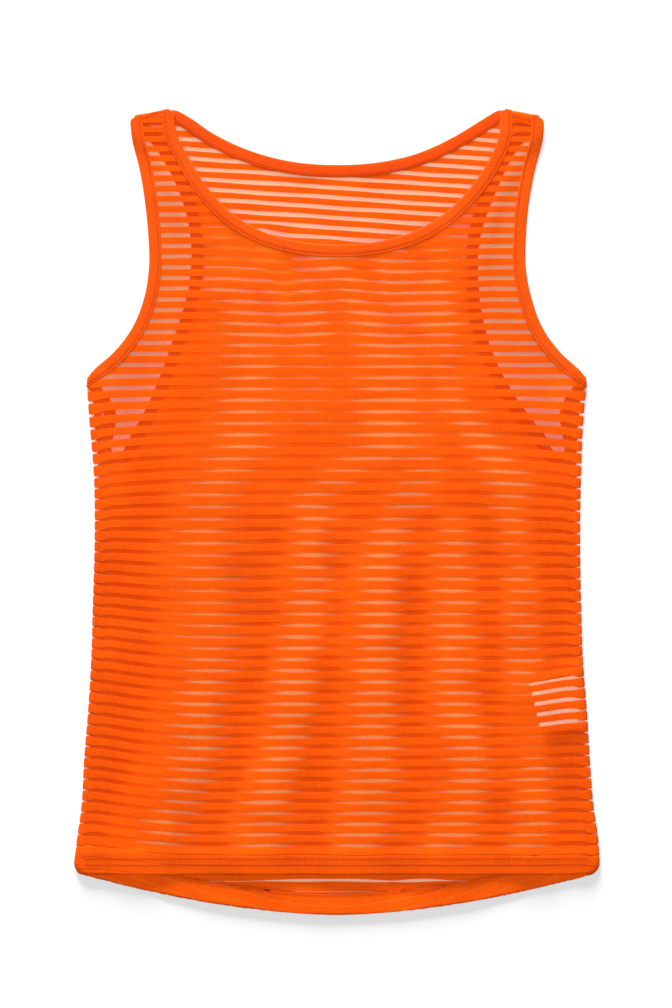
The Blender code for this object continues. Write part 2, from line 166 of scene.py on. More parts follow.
# How far the courses rise beside the mid line, at two distances on each side of it
COURSE_RISE = (  # height, left at 172 and 200, right at 164 and 206
    (34.0, 3.0, 6.0, 0.0, 0.5), (63.0, 4.0, 8.0, 0.0, 0.5), (106.0, 4.5, 9.0, 1.5, 2.0),
    (142.0, 4.5, 9.0, 1.0, 3.0), (165.0, 4.5, 9.0, -1.0, 4.0), (200.0, 4.5, 9.0, -2.2, 4.0),
    (215.0, 4.5, 8.5, -1.0, 3.0), (240.0, 4.0, 7.5, 0.0, 1.0), (290.0, 2.0, 4.5, 0.0, 0.0),
    (326.0, 0.0, 0.0, -1.0, -2.3), (347.0, -1.5, -3.0, -2.0, -4.2),
    (375.0, -3.0, -5.5, -2.0, -6.0), (413.0, -2.5, -4.5, -1.0, -4.0),
    (433.0, -0.9, -2.0, 0.0, -1.5), (460.0, 0.0, 0.0, 0.0, 0.0),
)
COURSE_RISE_AT = {-1: (115.0, 172.0, 200.0), 1: (110.0, 164.0, 206.0)}
COURSE_RISE_POWER = 1.5
COURSE_RISE_MOST = 1.4

# Waves of the front's courses below the neck
COURSE_WAVE = (  # across, drop
    (-140.0, 0.0), (-95.0, 0.0), (-44.0, 3.2), (2.5, -0.8), (49.0, 3.2), (87.0, 2.0),
    (134.0, 0.0),
)
COURSE_WAVE_HEIGHTS = (465.0, 505.0)
FRONT_ROW_WAVE = 0.22
BACK_ROW_WAVE = 0.38

# The back's courses lie a little closer at the neck and slope down to the right there.
BACK_NECK_RISE = ((530.0, 0.0), (573.0, 2.0), (616.0, 0.8), (650.0, 0.0))
BACK_SLOPE = 0.066
BACK_SLOPE_HEIGHTS = (500.0, 590.0)

# Share of its full width that a sheer stripe keeps at the side seams, in the body and the hems
SIDE_SLIT = ((34.0, 0.26), (290.0, 0.28), (350.0, 0.5), (444.0, 0.5))
SIDE_SLIT_REACH = (4.0, 10.0)
SIDE_SLIT_TOP = (440.0, 452.0)
BODY_SHEER = 0.88
BODY_SHEER_HEIGHTS = (540.0, 600.0)
HEM_SHEER = 0.14
HEM_SHEER_BLUR = 1.5
BACK_SHEER_MARGIN = 13.0
# Places just above the back hem where a sheer stripe opens: across, reach, share added
BACK_HEM_OPENINGS = ((72.0, 24.0, 0.75), (-36.0, 30.0, 0.3), (26.0, 30.0, 0.2))
OPENING_HEIGHTS = (HEM_DEPTH + 3.0, HEM_DEPTH + 8.0)

# Uneven columns in which the back's sheer stripes lie under the front's, so that light from
# the ground shows through both. Elsewhere the back's opaque stripes lie under the sheer ones.
LIGHT_COLUMNS = (  # height, across, half width and share open, down each column
    ((575.0, -98.0, 26.0, 0.9), (534.0, -91.0, 28.0, 0.9), (514.0, -82.0, 30.0, 0.9),
     (490.0, -76.0, 40.0, 0.9), (436.0, -76.0, 42.0, 0.9), (398.0, -79.0, 42.0, 0.85),
     (360.0, -103.0, 43.0, 0.8), (326.0, -113.0, 46.0, 0.8), (283.0, -106.0, 58.0, 0.7),
     (232.0, -106.0, 52.0, 0.7), (207.0, -105.0, 36.0, 0.9), (177.0, -116.0, 36.0, 0.97),
     (143.0, -117.0, 36.0, 0.97), (105.0, -126.0, 31.0, 0.95), (79.0, -141.0, 33.0, 0.9),
     (52.0, -148.0, 34.0, 0.85)),
    ((575.0, -66.0, 26.0, 0.9), (553.0, -57.0, 28.0, 0.95), (542.0, -46.0, 28.0, 0.95),
     (518.0, -29.0, 28.0, 1.0), (497.0, -17.0, 30.0, 0.9), (480.0, -22.0, 30.0, 0.55),
     (415.0, -24.0, 30.0, 0.5)),
    ((563.0, -6.0, 26.0, 0.9), (549.0, -2.0, 27.0, 1.0), (531.0, 8.5, 28.0, 1.0),
     (513.0, 16.0, 30.0, 0.9), (494.0, 36.0, 40.0, 0.85), (478.0, 44.0, 52.0, 0.9),
     (396.0, 44.0, 52.0, 0.9), (376.0, 8.0, 36.0, 0.7), (355.0, -19.0, 30.0, 0.85),
     (275.0, -20.0, 30.0, 0.95), (215.0, -35.0, 29.0, 1.0), (181.0, -37.0, 30.0, 1.0),
     (156.0, -42.0, 29.0, 0.95), (126.0, -50.0, 29.0, 0.95), (97.0, -58.0, 35.0, 0.97),
     (52.0, -67.0, 36.0, 0.85)),
    ((562.0, 46.0, 24.0, 0.85), (544.0, 50.0, 26.0, 0.95), (525.0, 53.0, 26.0, 0.9),
     (513.0, 62.0, 24.0, 0.6)),
    ((567.0, 92.0, 24.0, 0.85), (547.0, 87.0, 26.0, 0.85), (500.0, 87.0, 27.0, 0.9),
     (491.0, 92.0, 25.0, 0.7), (443.0, 94.0, 25.0, 0.7), (424.0, 107.0, 27.0, 0.9),
     (396.0, 128.0, 29.0, 0.95), (368.0, 147.0, 35.0, 0.95), (351.0, 144.0, 28.0, 0.85),
     (300.0, 152.0, 20.0, 0.6), (283.0, 157.0, 25.0, 0.85), (203.0, 158.0, 25.0, 0.85),
     (180.0, 162.0, 24.0, 0.3), (140.0, 168.0, 26.0, 0.4), (122.0, 169.0, 28.0, 0.8),
     (84.0, 165.0, 31.0, 0.9), (52.0, 163.0, 32.0, 0.8)),
    ((386.0, 78.0, 28.0, 0.6), (368.0, 70.0, 32.0, 0.9), (347.0, 59.0, 30.0, 0.9),
     (326.0, 47.0, 34.0, 0.9), (296.0, 38.0, 30.0, 0.95), (215.0, 35.0, 31.0, 1.0),
     (160.0, 31.0, 32.0, 1.0), (122.0, 32.0, 36.0, 1.0), (80.0, 24.0, 39.0, 0.95),
     (52.0, 18.0, 38.0, 0.85)),
    ((336.0, 100.0, 22.0, 0.6), (320.0, 100.0, 29.0, 0.85), (181.0, 101.0, 30.0, 0.97),
     (150.0, 108.0, 30.0, 0.95), (122.0, 115.0, 31.0, 0.95), (101.0, 110.0, 32.0, 0.95),
     (80.0, 102.0, 33.0, 0.95), (52.0, 90.0, 38.0, 0.8)),
)
COLUMN_FADE = 14.0
COLUMN_SWAY = 5.0
COLUMN_WIDTH = (1.15, 0.25)
COLUMN_SHARE = (0.97, 0.3)
SIDE_OPEN = (5.0, 16.0)
FRONT_WAVE_SHARE = 0.3
# Painted light on the sheer stripes: how strong it is in the light columns and over the label, and
# how soft its edges are at the label, the neck and the hem
STREAK_LIGHT = 0.84
LABEL_LIGHT = 0.8
LABEL_BLUR = 1.5
NECK_BLUR = 6.0
HEM_BLUR = 3.0

# The armhole windows' sheer stripes are a darker, denser copy of the sheer finish, as painted
# shade. Painted light in the windows fades down towards the underarms, and painted shade darkens
# the front more there and over the back's bindings and side seams.
WINDOW_LIGHT = 0.82
WINDOW_BLUR = 3.0
WINDOW_FOOT = 95.0
WINDOW_FADE = (530.0, 400.0)
WINDOW_FADED = 0.85
WINDOW_SHADE = (0.6, 1.0)
WINDOW_SHADE_HEIGHTS = (620.0, 470.0)
WINDOW_SHADE_EDGE = (1.0, 5.0)
WINDOW_MARGIN = 0.3
WINDOW_SHADE_OPACITY = 1.4
WINDOW_SHADE_TINT = 0.9
BAND_SHADE = 0.85

# How far a sheer stripe is drawn in at the side edges, which leaves them notched
SIDE_NOTCH = (  # height, left, right
    (34.0, 1.0, 1.0), (60.0, 3.6, 3.6), (330.0, 3.8, 3.8), (444.0, 4.2, 4.0),
)
NOTCH_REACH = 0.06
LOBE_DRAW = 0.5
SETTLE_ROUNDS = 8

# Points across half of a panel: close together at its edge, evenly spaced further in
EDGE_POINTS = (0.0, 0.003, 0.008, 0.015, 0.026)
EVEN_POINTS = 41
# Points up one course: two spaces of sheer stripe, then four of opaque stripe
OPAQUE_POINTS = (0.13, 0.5, 0.87)
SHEER_WALL_SHARE = 0.62
EDGE_WALL_SHARE = 0.84
BROW_WALL_SHARE = 0.95
SHEER_SPACES = (1, 1, 0, 0, 0, 0)
FINE_STEPS = 3
BACK_SPAN = (-20.0, 700.0)
FRONT_SPAN = (10.0, 690.0)
BACK_FINE_HEIGHTS = ((-3.0, 37.0), (670.0, 692.0))
FRONT_FINE_HEIGHTS = ((24.0, 44.0), (662.0, 682.0))

# Heights of a panel's middle above its underside
FRONT_LIFT = 0.65
BACK_LIFT = 0.32
HEM_TURN_RADIUS = 0.35
SHOULDER_RADIUS = (PANEL_WALL + SEAM_GAP + FRONT_LIFT - BACK_LIFT) / 2
FOLD_SNAP = 0.3
SIDE_CLOSING = 4.5
BACK_HEM_CURL = 1.3
CURL_DEPTH = 26.0
CURL_REACH = (90.0, 190.0)
SIDE_SEAM_HEIGHT = 1.0


# --- plane curves ----------------------------------------------------------------------------


def smoothstep(low, high, value):
    share = np.clip((np.asarray(value, float) - low) / (high - low), 0.0, 1.0)
    return share * share * (3 - 2 * share)


def table_at(table, place, column=1):
    """A column of a table at places between the rows' first numbers."""
    rows = np.array(table)
    return np.interp(place, rows[:, 0], rows[:, column])


def unit(vector):
    return vector / np.linalg.norm(vector, axis=-1, keepdims=True)


def run_along(line):
    steps = np.linalg.norm(np.diff(line, axis=0), axis=1)
    return np.concatenate([[0.0], np.cumsum(steps)])


def smooth_curve(points, step):
    """A smooth curve through the points, with no two of its own more than step apart."""
    points = np.asarray(points, float)
    place = run_along(points)
    slopes = np.gradient(points, place, axis=0)
    curve = []
    for i, chord in enumerate(np.diff(place)):
        count = max(1, math.ceil(chord / step))
        for share in np.arange(count) / count:
            at_start = 2 * share**3 - 3 * share**2 + 1
            leaving = share**3 - 2 * share**2 + share
            reaching = share**3 - share**2
            curve.append(
                at_start * points[i]
                + (1 - at_start) * points[i + 1]
                + chord * (leaving * slopes[i] + reaching * slopes[i + 1])
            )
    return np.array([*curve, points[-1]])


def side_points(table, side):
    """One side's column of a left and right table, as points across and up."""
    column = 1 if side < 0 else 2
    return np.array([(side * row[column], row[0]) for row in table])


def inner_edge(outer, inward, start_along, end_along):
    """A binding's other edge, which turns at both ends to lie along a fold line."""
    tangents = unit(np.gradient(outer, axis=0))
    across = inward * np.stack([-tangents[:, 1], tangents[:, 0]], axis=1)
    run = run_along(outer)
    for along, distance in ((start_along, run), (end_along, run[-1] - run)):
        share = 1 - smoothstep(0.0, BINDING_TURN, distance)[:, None]
        across = unit(across * (1 - share) + np.asarray(along) * share)
    return outer + BINDING_WIDTH * across


def inside(points, outline):
    """True for each point that lies inside the closed outline."""
    x, y = points[:, 0, None], points[:, 1, None]
    x0, y0 = outline[:, 0], outline[:, 1]
    x1, y1 = np.roll(x0, -1), np.roll(y0, -1)
    spans = (y0 > y) != (y1 > y)
    rise = np.where(y1 == y0, 1.0, y1 - y0)
    return (spans & (x < x0 + (y - y0) * (x1 - x0) / rise)).sum(axis=1) % 2 == 1


def distance_to(points, line):
    """Each point's distance from a closed line of straight stretches."""
    along = np.roll(line, -1, axis=0) - line
    offset = points[:, None] - line
    length = np.maximum((along**2).sum(axis=1), 1e-9)
    share = np.clip((offset * along).sum(axis=2) / length, 0.0, 1.0)
    return np.linalg.norm(offset - share[..., None] * along, axis=2).min(axis=1)


def distance_outside(points, outline):
    return np.where(inside(points, outline), 0.0, distance_to(points, outline))


def flat_points(across, height):
    return np.stack([np.ravel(across), np.ravel(height)], axis=1)


# --- the edges that the pieces share ---------------------------------------------------------


def back_hem_height(across):
    return BACK_HEM_DROP * (np.abs(across) / BACK_HEM_REACH) ** BACK_HEM_POWER


def front_hem_height(across):
    return np.full_like(np.asarray(across, float), FRONT_HEM_HEIGHT)


def shoulder_height(across):
    """The height of the shoulder folds, each side the same."""
    slope = (SHOULDER_NECK[1] - SHOULDER_OUTER[1]) / (SHOULDER_OUTER[0] - SHOULDER_NECK[0])
    return SHOULDER_OUTER[1] + slope * (SHOULDER_OUTER[0] - np.abs(across))


def shoulder_line(side):
    """The unit vector along a shoulder fold, from the armhole to the neck."""
    return unit(np.array([-side * (SHOULDER_OUTER[0] - SHOULDER_NECK[0]),
                          SHOULDER_NECK[1] - SHOULDER_OUTER[1]]))


def armhole_edges(table, side, step=BINDING_SPACING):
    """Outer and inner edge of an armhole binding on one layer, from shoulder to underarm."""
    outer = smooth_curve(side_points(table, side), step)
    underarm = unit(np.array([side * UNDERARM_FOLD[0], UNDERARM_FOLD[1]]))
    return outer, inner_edge(outer, -side, shoulder_line(side), underarm)


def neck_edges(table, step=BINDING_SPACING):
    """Outer and inner edge of the neck binding on one layer, from left to right."""
    outer = smooth_curve(table, step)
    return outer, inner_edge(outer, -1, -shoulder_line(-1), -shoulder_line(1))


SIDE_STEP = 4.0
OUTLINE_STEP = 6.5
HEM_STEP = 12.0
SIDE_LINES = {side: smooth_curve(side_points(SIDE_EDGE, side), SIDE_STEP) for side, _ in SIDES}


def back_layer_outline():
    """All that the back layer covers, with its bindings."""
    across = np.arange(-BACK_HEM_REACH + HEM_STEP, BACK_HEM_REACH, HEM_STEP)
    left, right = (armhole_edges(BACK_ARMHOLE, side, OUTLINE_STEP)[0] for side, _ in SIDES)
    neck = neck_edges(BACK_NECK, OUTLINE_STEP)[0]
    return np.vstack([flat_points(across, back_hem_height(across)), SIDE_LINES[1], right[::-1],
                      neck[::-1], left, SIDE_LINES[-1][::-1]])


BACK_LAYER = back_layer_outline()


def side_reach(height, side):
    """The side edge's distance from the mid line."""
    edge = SIDE_LINES[side]
    return np.interp(height, edge[:, 1], np.abs(edge[:, 0]))


def side_gap(across, height):
    """The distance in from the side edge."""
    reach = np.where(across < 0, side_reach(height, -1), side_reach(height, 1))
    return reach - np.abs(across)


# --- heights off the ground ------------------------------------------------------------------


def fold_rise(points):
    """How far the front's soft folds lift it off the back."""
    across, height = points.T
    rise = np.zeros(len(points))
    for *track, top, half_width, crest in FRONT_FOLDS:
        middle = np.interp(height, (*FOLD_HEIGHTS, top), track)
        share = np.clip(np.abs(across - middle) / half_width, 0.0, 1.0)
        at_hem = smoothstep(FRONT_HEM_HEIGHT, FOLD_FULL_HEIGHT, height)
        along = FOLD_SHARE_AT_HEM + (1 - FOLD_SHARE_AT_HEM) * at_hem
        along = along * (1 - smoothstep(top - FOLD_FADE, top, height))
        rise += crest * along * np.cos(share * math.pi / 2) ** 2
    return rise


def front_underside(points):
    """The height of the front layer's underside: on the back, or on the ground beside it."""
    beside = distance_outside(points, BACK_LAYER)
    rest = (PANEL_WALL + SEAM_GAP) * (1 - smoothstep(*SAG, beside))
    over_hem = HEM_EXTRA * (1 - smoothstep(*OVER_BACK_HEM, points[:, 1]))
    near_label = 1 - smoothstep(*LABEL_RISE, distance_outside(points, np.array(CARE_LABEL)))
    over_label = (LABEL_WALL + SEAM_GAP) * near_label
    return rest + over_hem + np.maximum(fold_rise(points), over_label)


def side_closing(across, height):
    """1 on the side seams and 0 further in than the cloth curves over to meet there."""
    share = np.clip(1 - side_gap(across, height) / SIDE_CLOSING, 0.0, 1.0)
    curved = 1 - np.sqrt(np.maximum(1 - share**2, 0.0))
    return np.where(height < UNDERARM + SIDE_CLOSING, curved, 0.0)


def soft_ripple(across, height, phase):
    """Low uneven waves of cloth that lies loosely."""
    wide = np.sin(across / 17.0 + 0.9 * np.sin(height / 61.0 + phase) + phase)
    tall = np.sin(height / 33.0 + 1.3 * np.sin(across / 43.0 + phase))
    return 0.16 * wide * tall + 0.1 * np.sin(across / 9.0 + height / 37.0 + phase)


def front_middle(across, height):
    """Height above the ground of the front cloth's middle."""
    base = front_underside(flat_points(across, height)).reshape(np.shape(height))
    level = base + FRONT_LIFT + soft_ripple(across, height, 0.0)
    closing = side_closing(across, height)
    return level * (1 - closing) + SIDE_SEAM_HEIGHT * closing


def back_middle(across, height):
    """Height above the ground of the back cloth's middle."""
    ripple = np.maximum(soft_ripple(across, height, 2.0), 0.0)
    closing = side_closing(across, height)
    curl = BACK_HEM_CURL * (1 - smoothstep(0.0, CURL_DEPTH, height - back_hem_height(across)))
    curl = curl * (1 - smoothstep(*CURL_REACH, np.abs(across)))
    seam = SIDE_SEAM_HEIGHT - SEAM_GAP
    return (BACK_LIFT + ripple + curl) * (1 - closing) + seam * closing


# --- courses ---------------------------------------------------------------------------------


def course_scale():
    heights = np.arange(*COURSE_TABLE)
    pitch = table_at(COURSE_PITCH, heights)
    count = np.concatenate([[0.0], np.cumsum(COURSE_TABLE[2] / pitch[:-1])])
    count -= np.interp(SHEER_COURSE_HEIGHT, heights, count) % 1.0
    return heights, count


COURSE_HEIGHTS, COURSE_COUNTS = course_scale()


def course_height(count):
    """The height of a course at the mid line."""
    return np.interp(count, COURSE_COUNTS, COURSE_HEIGHTS)


def course_at(height):
    return np.interp(height, COURSE_HEIGHTS, COURSE_COUNTS)


def course_rise(across, height):
    """How far a course bows up or down beside the mid line."""
    rise = np.zeros(np.broadcast(across, height).shape)
    for side, column in ((-1, 1), (1, 3)):
        start, middle, end = COURSE_RISE_AT[side]
        near = table_at(COURSE_RISE, height, column)
        far = table_at(COURSE_RISE, height, column + 1)
        first = np.clip((side * across - start) / (middle - start), 0.0, 1.0) ** COURSE_RISE_POWER
        second = np.clip((side * across - middle) / (end - middle), 0.0, COURSE_RISE_MOST)
        rise += near * first + (far - near) * second
    return rise


def sheer_width(across, height, hem):
    """Share of its full width that a sheer stripe has."""
    beside = 1 - smoothstep(*SIDE_SLIT_REACH, side_gap(across, height))
    beside = beside * (1 - smoothstep(*SIDE_SLIT_TOP, height))
    blur = HEM_SHEER_BLUR
    in_hem = 1 - smoothstep(HEM_DEPTH - blur, HEM_DEPTH + blur, height - hem)
    body = 1 + (BODY_SHEER - 1) * (1 - smoothstep(*BODY_SHEER_HEIGHTS, height))
    slit = table_at(SIDE_SLIT, height)
    return body * (1 + (slit - 1) * beside) * (1 + (HEM_SHEER - 1) * in_hem)


def narrowed(count, half, width):
    """Counts moved so that each sheer stripe has a share of its full half width."""
    middle = np.round(count)
    off = count - middle
    wanted = half * width
    stretch = (0.5 - wanted) / (0.5 - half)
    beyond = np.sign(off) * (wanted + (np.abs(off) - half) * stretch)
    return middle + np.where(np.abs(off) <= half, off * width, beyond)


def uneven(height, seed):
    """A small irregular amount for each course, between -1 and 1."""
    rows = np.arange(-20.0, 110.0)
    values = 0.6 * np.sin(2.399 * rows + seed) + 0.4 * np.sin(4.13 * rows + 2.3 * seed)
    return np.interp(course_at(height), rows, values)


def row_wave(across, height, seed):
    """Slight waves along the courses, each a little unlike the next."""
    phase = 2.6 * uneven(height, seed) + seed
    return 0.6 * np.sin(across / 21.0 + phase) + 0.4 * np.sin(across / 9.7 + 2.1 * phase)


def closed_share(across, height):
    """0 where the two layers' sheer stripes line up, 1 where they lie half a course apart."""
    closed = np.ones(np.broadcast(across, height).shape)
    wide, wider = COLUMN_WIDTH
    most, less = COLUMN_SHARE
    for seed, track in enumerate(LIGHT_COLUMNS):
        levels, middles, halves, shares = np.array(track)[::-1].T
        middle = np.interp(height, levels, middles) + COLUMN_SWAY * uneven(height, seed)
        half = np.interp(height, levels, halves) * (wide + wider * uneven(height, seed + 0.7))
        share = np.interp(height, levels, shares)
        share = share * (most - less * np.abs(uneven(height, seed + 1.9)))
        ends = smoothstep(levels[0] - COLUMN_FADE, levels[0], height)
        ends = ends * (1 - smoothstep(levels[-1], levels[-1] + COLUMN_FADE, height))
        near = np.clip(np.abs(across - middle) / half, 0.0, 1.0)
        closed = closed * (1 - share * ends * np.cos(near * math.pi / 2) ** 2)
    return closed * smoothstep(*SIDE_OPEN, side_gap(across, height))


def front_course(count, across, half):
    """The flat height of the front's courses."""
    level = course_height(count)
    count = narrowed(count, half, sheer_width(across, level, front_hem_height(across)))
    shift = FRONT_WAVE_SHARE * 0.5 * closed_share(across, level)
    wave = table_at(COURSE_WAVE, across) * smoothstep(*COURSE_WAVE_HEIGHTS, level)
    wave = wave + FRONT_ROW_WAVE * row_wave(across, level, 0.4)
    return course_height(count + shift) + course_rise(across, level) - wave


def back_course(count, across, half):
    """The flat height of the back's courses."""
    level = course_height(count)
    hem = back_hem_height(across)
    width = sheer_width(across, level, hem + BACK_SHEER_MARGIN)
    above_hem = smoothstep(*OPENING_HEIGHTS, level - hem)
    for middle, reach, added in BACK_HEM_OPENINGS:
        near = np.clip(np.abs(across - middle) / reach, 0.0, 1.0)
        width = np.minimum(width + added * above_hem * (1 - near**2), 1.0)
    count = narrowed(count, half, width)
    shift = (1 - FRONT_WAVE_SHARE) * 0.5 * closed_share(across, level)
    slope = BACK_SLOPE * across * smoothstep(*BACK_SLOPE_HEIGHTS, level)
    rise = table_at(BACK_NECK_RISE, level) + BACK_ROW_WAVE * row_wave(across, level, 3.1)
    return course_height(count - shift) + course_rise(across, level) + rise - slope


def course_rows(low, high, half, fine):
    """Points up the courses: their counts, their shares of the full wall, and 1 for each space
    between two of them that is sheer. The spaces at the fine heights are divided further."""
    rise = [-half, 0.0, half] + [half + (1 - 2 * half) * p for p in OPAQUE_POINTS]
    walls = [EDGE_WALL_SHARE, SHEER_WALL_SHARE, EDGE_WALL_SHARE,
             BROW_WALL_SHARE, 1.0, BROW_WALL_SHARE]
    first, last = math.floor(course_at(low)), math.ceil(course_at(high))
    counts = (np.arange(first, last + 1)[:, None] + rise).ravel()
    walls = np.tile(walls, last + 1 - first)
    rows = []
    for i in range(len(counts) - 1):
        level = course_height((counts[i] + counts[i + 1]) / 2)
        steps = FINE_STEPS if any(start < level < end for start, end in fine) else 1
        for share in np.arange(steps) / steps:
            rows.append((
                counts[i] + share * (counts[i + 1] - counts[i]),
                round(walls[i] + share * (walls[i + 1] - walls[i]), 2),
                SHEER_SPACES[i % len(SHEER_SPACES)],
            ))
    counts, walls, sheer = np.array(rows).T
    return counts, walls, sheer.astype(np.int32)


# --- meshes ----------------------------------------------------------------------------------

WELD = 0.00001


def placed(across, height, z):
    """Points of the garment in metres, centred on the ground."""
    points = np.stack(np.broadcast_arrays(across, height - OVERALL_LENGTH / 2, z), axis=-1)
    return points.reshape(-1, 3) * MM


def link(name, data):
    made = bpy.data.objects.new(name, data)
    bpy.context.scene.collection.objects.link(made)
    return made


def make_piece(name, points, faces, materials, weave, slots=None, walls=None, light=None):
    """A smooth mesh piece with its cloth directions in an attribute, whose third value can hold
    painted shade, and with painted light in another attribute where that is given.
    """
    data = bpy.data.meshes.new(name)
    data.from_pydata(points.tolist(), [], faces)
    for material in materials:
        data.materials.append(material)
    if slots is not None:
        data.polygons.foreach_set("material_index", slots)
    grain = data.attributes.new("cloth_grain", "FLOAT_VECTOR", "POINT")
    grain.data.foreach_set("vector", np.asarray(weave, np.float32).ravel())
    if light is not None:
        shares = data.attributes.new("painted_light", "FLOAT", "POINT")
        shares.data.foreach_set("value", np.asarray(light, np.float32))
    made = link(name, data)
    if walls is not None:
        group = made.vertex_groups.new(name="wall")
        for share in np.unique(walls):
            group.add(np.flatnonzero(walls == share).tolist(), float(share), "REPLACE")
    mesh = bmesh.new()
    mesh.from_mesh(data)
    bmesh.ops.remove_doubles(mesh, verts=mesh.verts, dist=WELD)
    bmesh.ops.dissolve_degenerate(mesh, edges=mesh.edges, dist=WELD)
    bmesh.ops.delete(mesh, geom=[v for v in mesh.verts if not v.link_faces], context="VERTS")
    mesh.to_mesh(data)
    mesh.free()
    data.shade_smooth()
    return made


def outwards(made):
    mesh = bmesh.new()
    mesh.from_mesh(made.data)
    bmesh.ops.recalc_face_normals(mesh, faces=mesh.faces)
    mesh.to_mesh(made.data)
    mesh.free()
    return made


def thicken(made, wall):
    """Turns a single surface into a thin closed shell, thinner where its wall share is low."""
    shell = made.modifiers.new("Cloth wall", "SOLIDIFY")
    shell.thickness = wall
    shell.offset = 0.0
    shell.vertex_group = "wall"
    shell.thickness_vertex_group = 0.0
    return made


def lattice_faces(rows, columns, first=0, ring=False, loop=False):
    """Four-sided faces between the points of a lattice, row by row. Its columns join up into
    rings and its rows into a loop where that is asked."""
    index = first + np.arange(rows * columns).reshape(rows, columns)
    if loop:
        index = np.vstack([index, index[:1]])
    if ring:
        index = np.hstack([index, index[:, :1]])
    quads = np.stack(
        [index[:-1, :-1], index[:-1, 1:], index[1:, 1:], index[1:, :-1]], axis=-1)
    return quads.reshape(-1, 4)


def ride_and_state(piece, slot, *nodes):
    """Fastens a piece to the garment and hides the solids that it stands for. The finish named for
    it is not used.
    """
    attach(piece, "root")
    if nodes:
        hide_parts(*nodes)


# --- panels ----------------------------------------------------------------------------------


def reach_function(line):
    """A function for the distance from the mid line of an edge, from its height."""
    line = line[np.argsort(line[:, 1], kind="stable")]
    return lambda height: np.interp(height, line[:, 1], np.abs(line[:, 0]))


def neck_function(neck, side):
    """A function for the neck edge's distance from the mid line, which is 0 below the neck."""
    half = neck[side * neck[:, 0] > 0]
    line = half[np.argsort(half[:, 1])]
    low = neck[np.argmin(np.abs(neck[:, 0]))][1]
    heights = np.concatenate([[low], line[:, 1]])
    reaches = np.concatenate([[0.0], np.abs(line[:, 0])])
    return lambda height: np.where(height < low, 0.0, np.interp(height, heights, reaches))


def tucked(edges):
    """The line halfway across a binding, to which the panel reaches inside it."""
    outer, inner = edges
    return outer + 0.5 * (inner - outer)


def front_edges(side):
    """The front's outer reach and its neck reach, on one side, from the height."""
    arm = tucked(armhole_edges(FRONT_ARMHOLE, side))
    reach = reach_function(np.vstack([SIDE_LINES[side], arm]))
    return reach, neck_function(tucked(neck_edges(FRONT_NECK)), side)


def back_edges(side):
    """The back's outer reach and its neck reach, on one side, from the height."""
    arm = tucked(armhole_edges(BACK_ARMHOLE, side))
    lowest = np.argmin(arm[:, 1])
    below = SIDE_LINES[side][SIDE_LINES[side][:, 1] < arm[lowest, 1] - 0.5]
    reach = reach_function(np.vstack([below, arm[: lowest + 1]]))
    return reach, neck_function(tucked(neck_edges(BACK_NECK)), side)


def settle(course, counts, edge, side):
    """Where each course meets an edge that is given by its reach at a height."""
    across = side * edge(course_height(counts))
    for _ in range(SETTLE_ROUNDS):
        across = 0.5 * across + 0.5 * side * edge(course(counts, across))
    return across


def panel_half(side, course, rows, outer_edge, inner_edge_at, low, high):
    """One half of a panel as a lattice of flat points, from its outer edge to its inner one."""
    counts, walls, _ = rows
    outer = settle(course, counts, outer_edge, side)
    inner = settle(course, counts, inner_edge_at, side)
    even = np.linspace(EDGE_POINTS[-1], 1.0, EVEN_POINTS + 1)[1:]
    columns = np.concatenate([EDGE_POINTS, even])
    across = outer[:, None] + (inner - outer)[:, None] * columns
    count = np.broadcast_to(counts[:, None], across.shape)
    height = course(count, across)
    depth = table_at(SIDE_NOTCH, height, 1 if side < 0 else 2)
    sheer = smoothstep(EDGE_WALL_SHARE + 0.02, SHEER_WALL_SHARE, walls)[:, None]
    lobe = smoothstep(BROW_WALL_SHARE + 0.04, EDGE_WALL_SHARE, walls)[:, None]
    drawn = np.where(height < UNDERARM, depth * sheer + LOBE_DRAW * lobe, 0.0)
    across = across - side * drawn * (1 - smoothstep(0.0, NOTCH_REACH, columns))
    return across, np.clip(height, low(across), high(across)), count


def around_fold(past, radius):
    """How far cloth reaches beyond a fold and how much it is lifted, from its length past it."""
    past = np.where(np.abs(past) < FOLD_SNAP, 0.0, past)
    turn = math.pi * radius
    angle = np.clip(past / turn, 0.0, 1.0) * math.pi
    beyond = np.where(past > 0, radius * np.sin(angle), past)
    beyond = np.where(past > turn, turn - past, beyond)
    return beyond, radius * (1 - np.cos(angle))


def hem_lift(above):
    """How far the outer cloth of a hem is lifted by what is turned up inside it."""
    return 2 * HEM_TURN_RADIUS * (1 - smoothstep(HEM_DEPTH, HEM_DEPTH + HEM_RISE, above))


def lay_front(across, height):
    """The front's flat points laid on the back, its hem turned under."""
    beyond, drop = around_fold(FRONT_HEM_HEIGHT - height, HEM_TURN_RADIUS)
    laid = FRONT_HEM_HEIGHT - beyond
    return laid, front_middle(across, laid) + hem_lift(-beyond) - drop


def lay_back(across, height):
    """The back's flat points laid on the ground, its hem turned up over it and its shoulders
    turned over the folds."""
    hem = back_hem_height(across)
    beyond, rise = around_fold(hem - height, HEM_TURN_RADIUS)
    fold = shoulder_height(across)
    over, turned = around_fold(hem - beyond - fold, SHOULDER_RADIUS)
    return fold + over, back_middle(across, fold + over) + rise + turned


def through_both(across, count):
    """Painted light where both layers' sheer stripes lie open over the ground."""
    level = course_height(count)
    open_share = STREAK_LIGHT * (1 - closed_share(across, level))
    return open_share * smoothstep(*SIDE_OPEN, side_gap(across, level))


def front_painted_light(across, height, count):
    """Painted light: 1 where light from the ground or the label comes through the front's sheer
    stripes.
    """
    flat = flat_points(across, height)
    windows = WINDOW_LIGHT * smoothstep(0.0, WINDOW_BLUR, distance_outside(flat, BACK_LAYER))
    windows = windows * (1 - WINDOW_FADED * smoothstep(*WINDOW_FADE, flat[:, 1]))
    from_label = distance_outside(flat, np.array(CARE_LABEL))
    label = LABEL_LIGHT * (1 - smoothstep(0.0, LABEL_BLUR, from_label))
    windows = np.maximum(windows, label).reshape(np.shape(height))
    windows = windows * (height > WINDOW_FOOT)
    return np.maximum(windows, through_both(across, count))


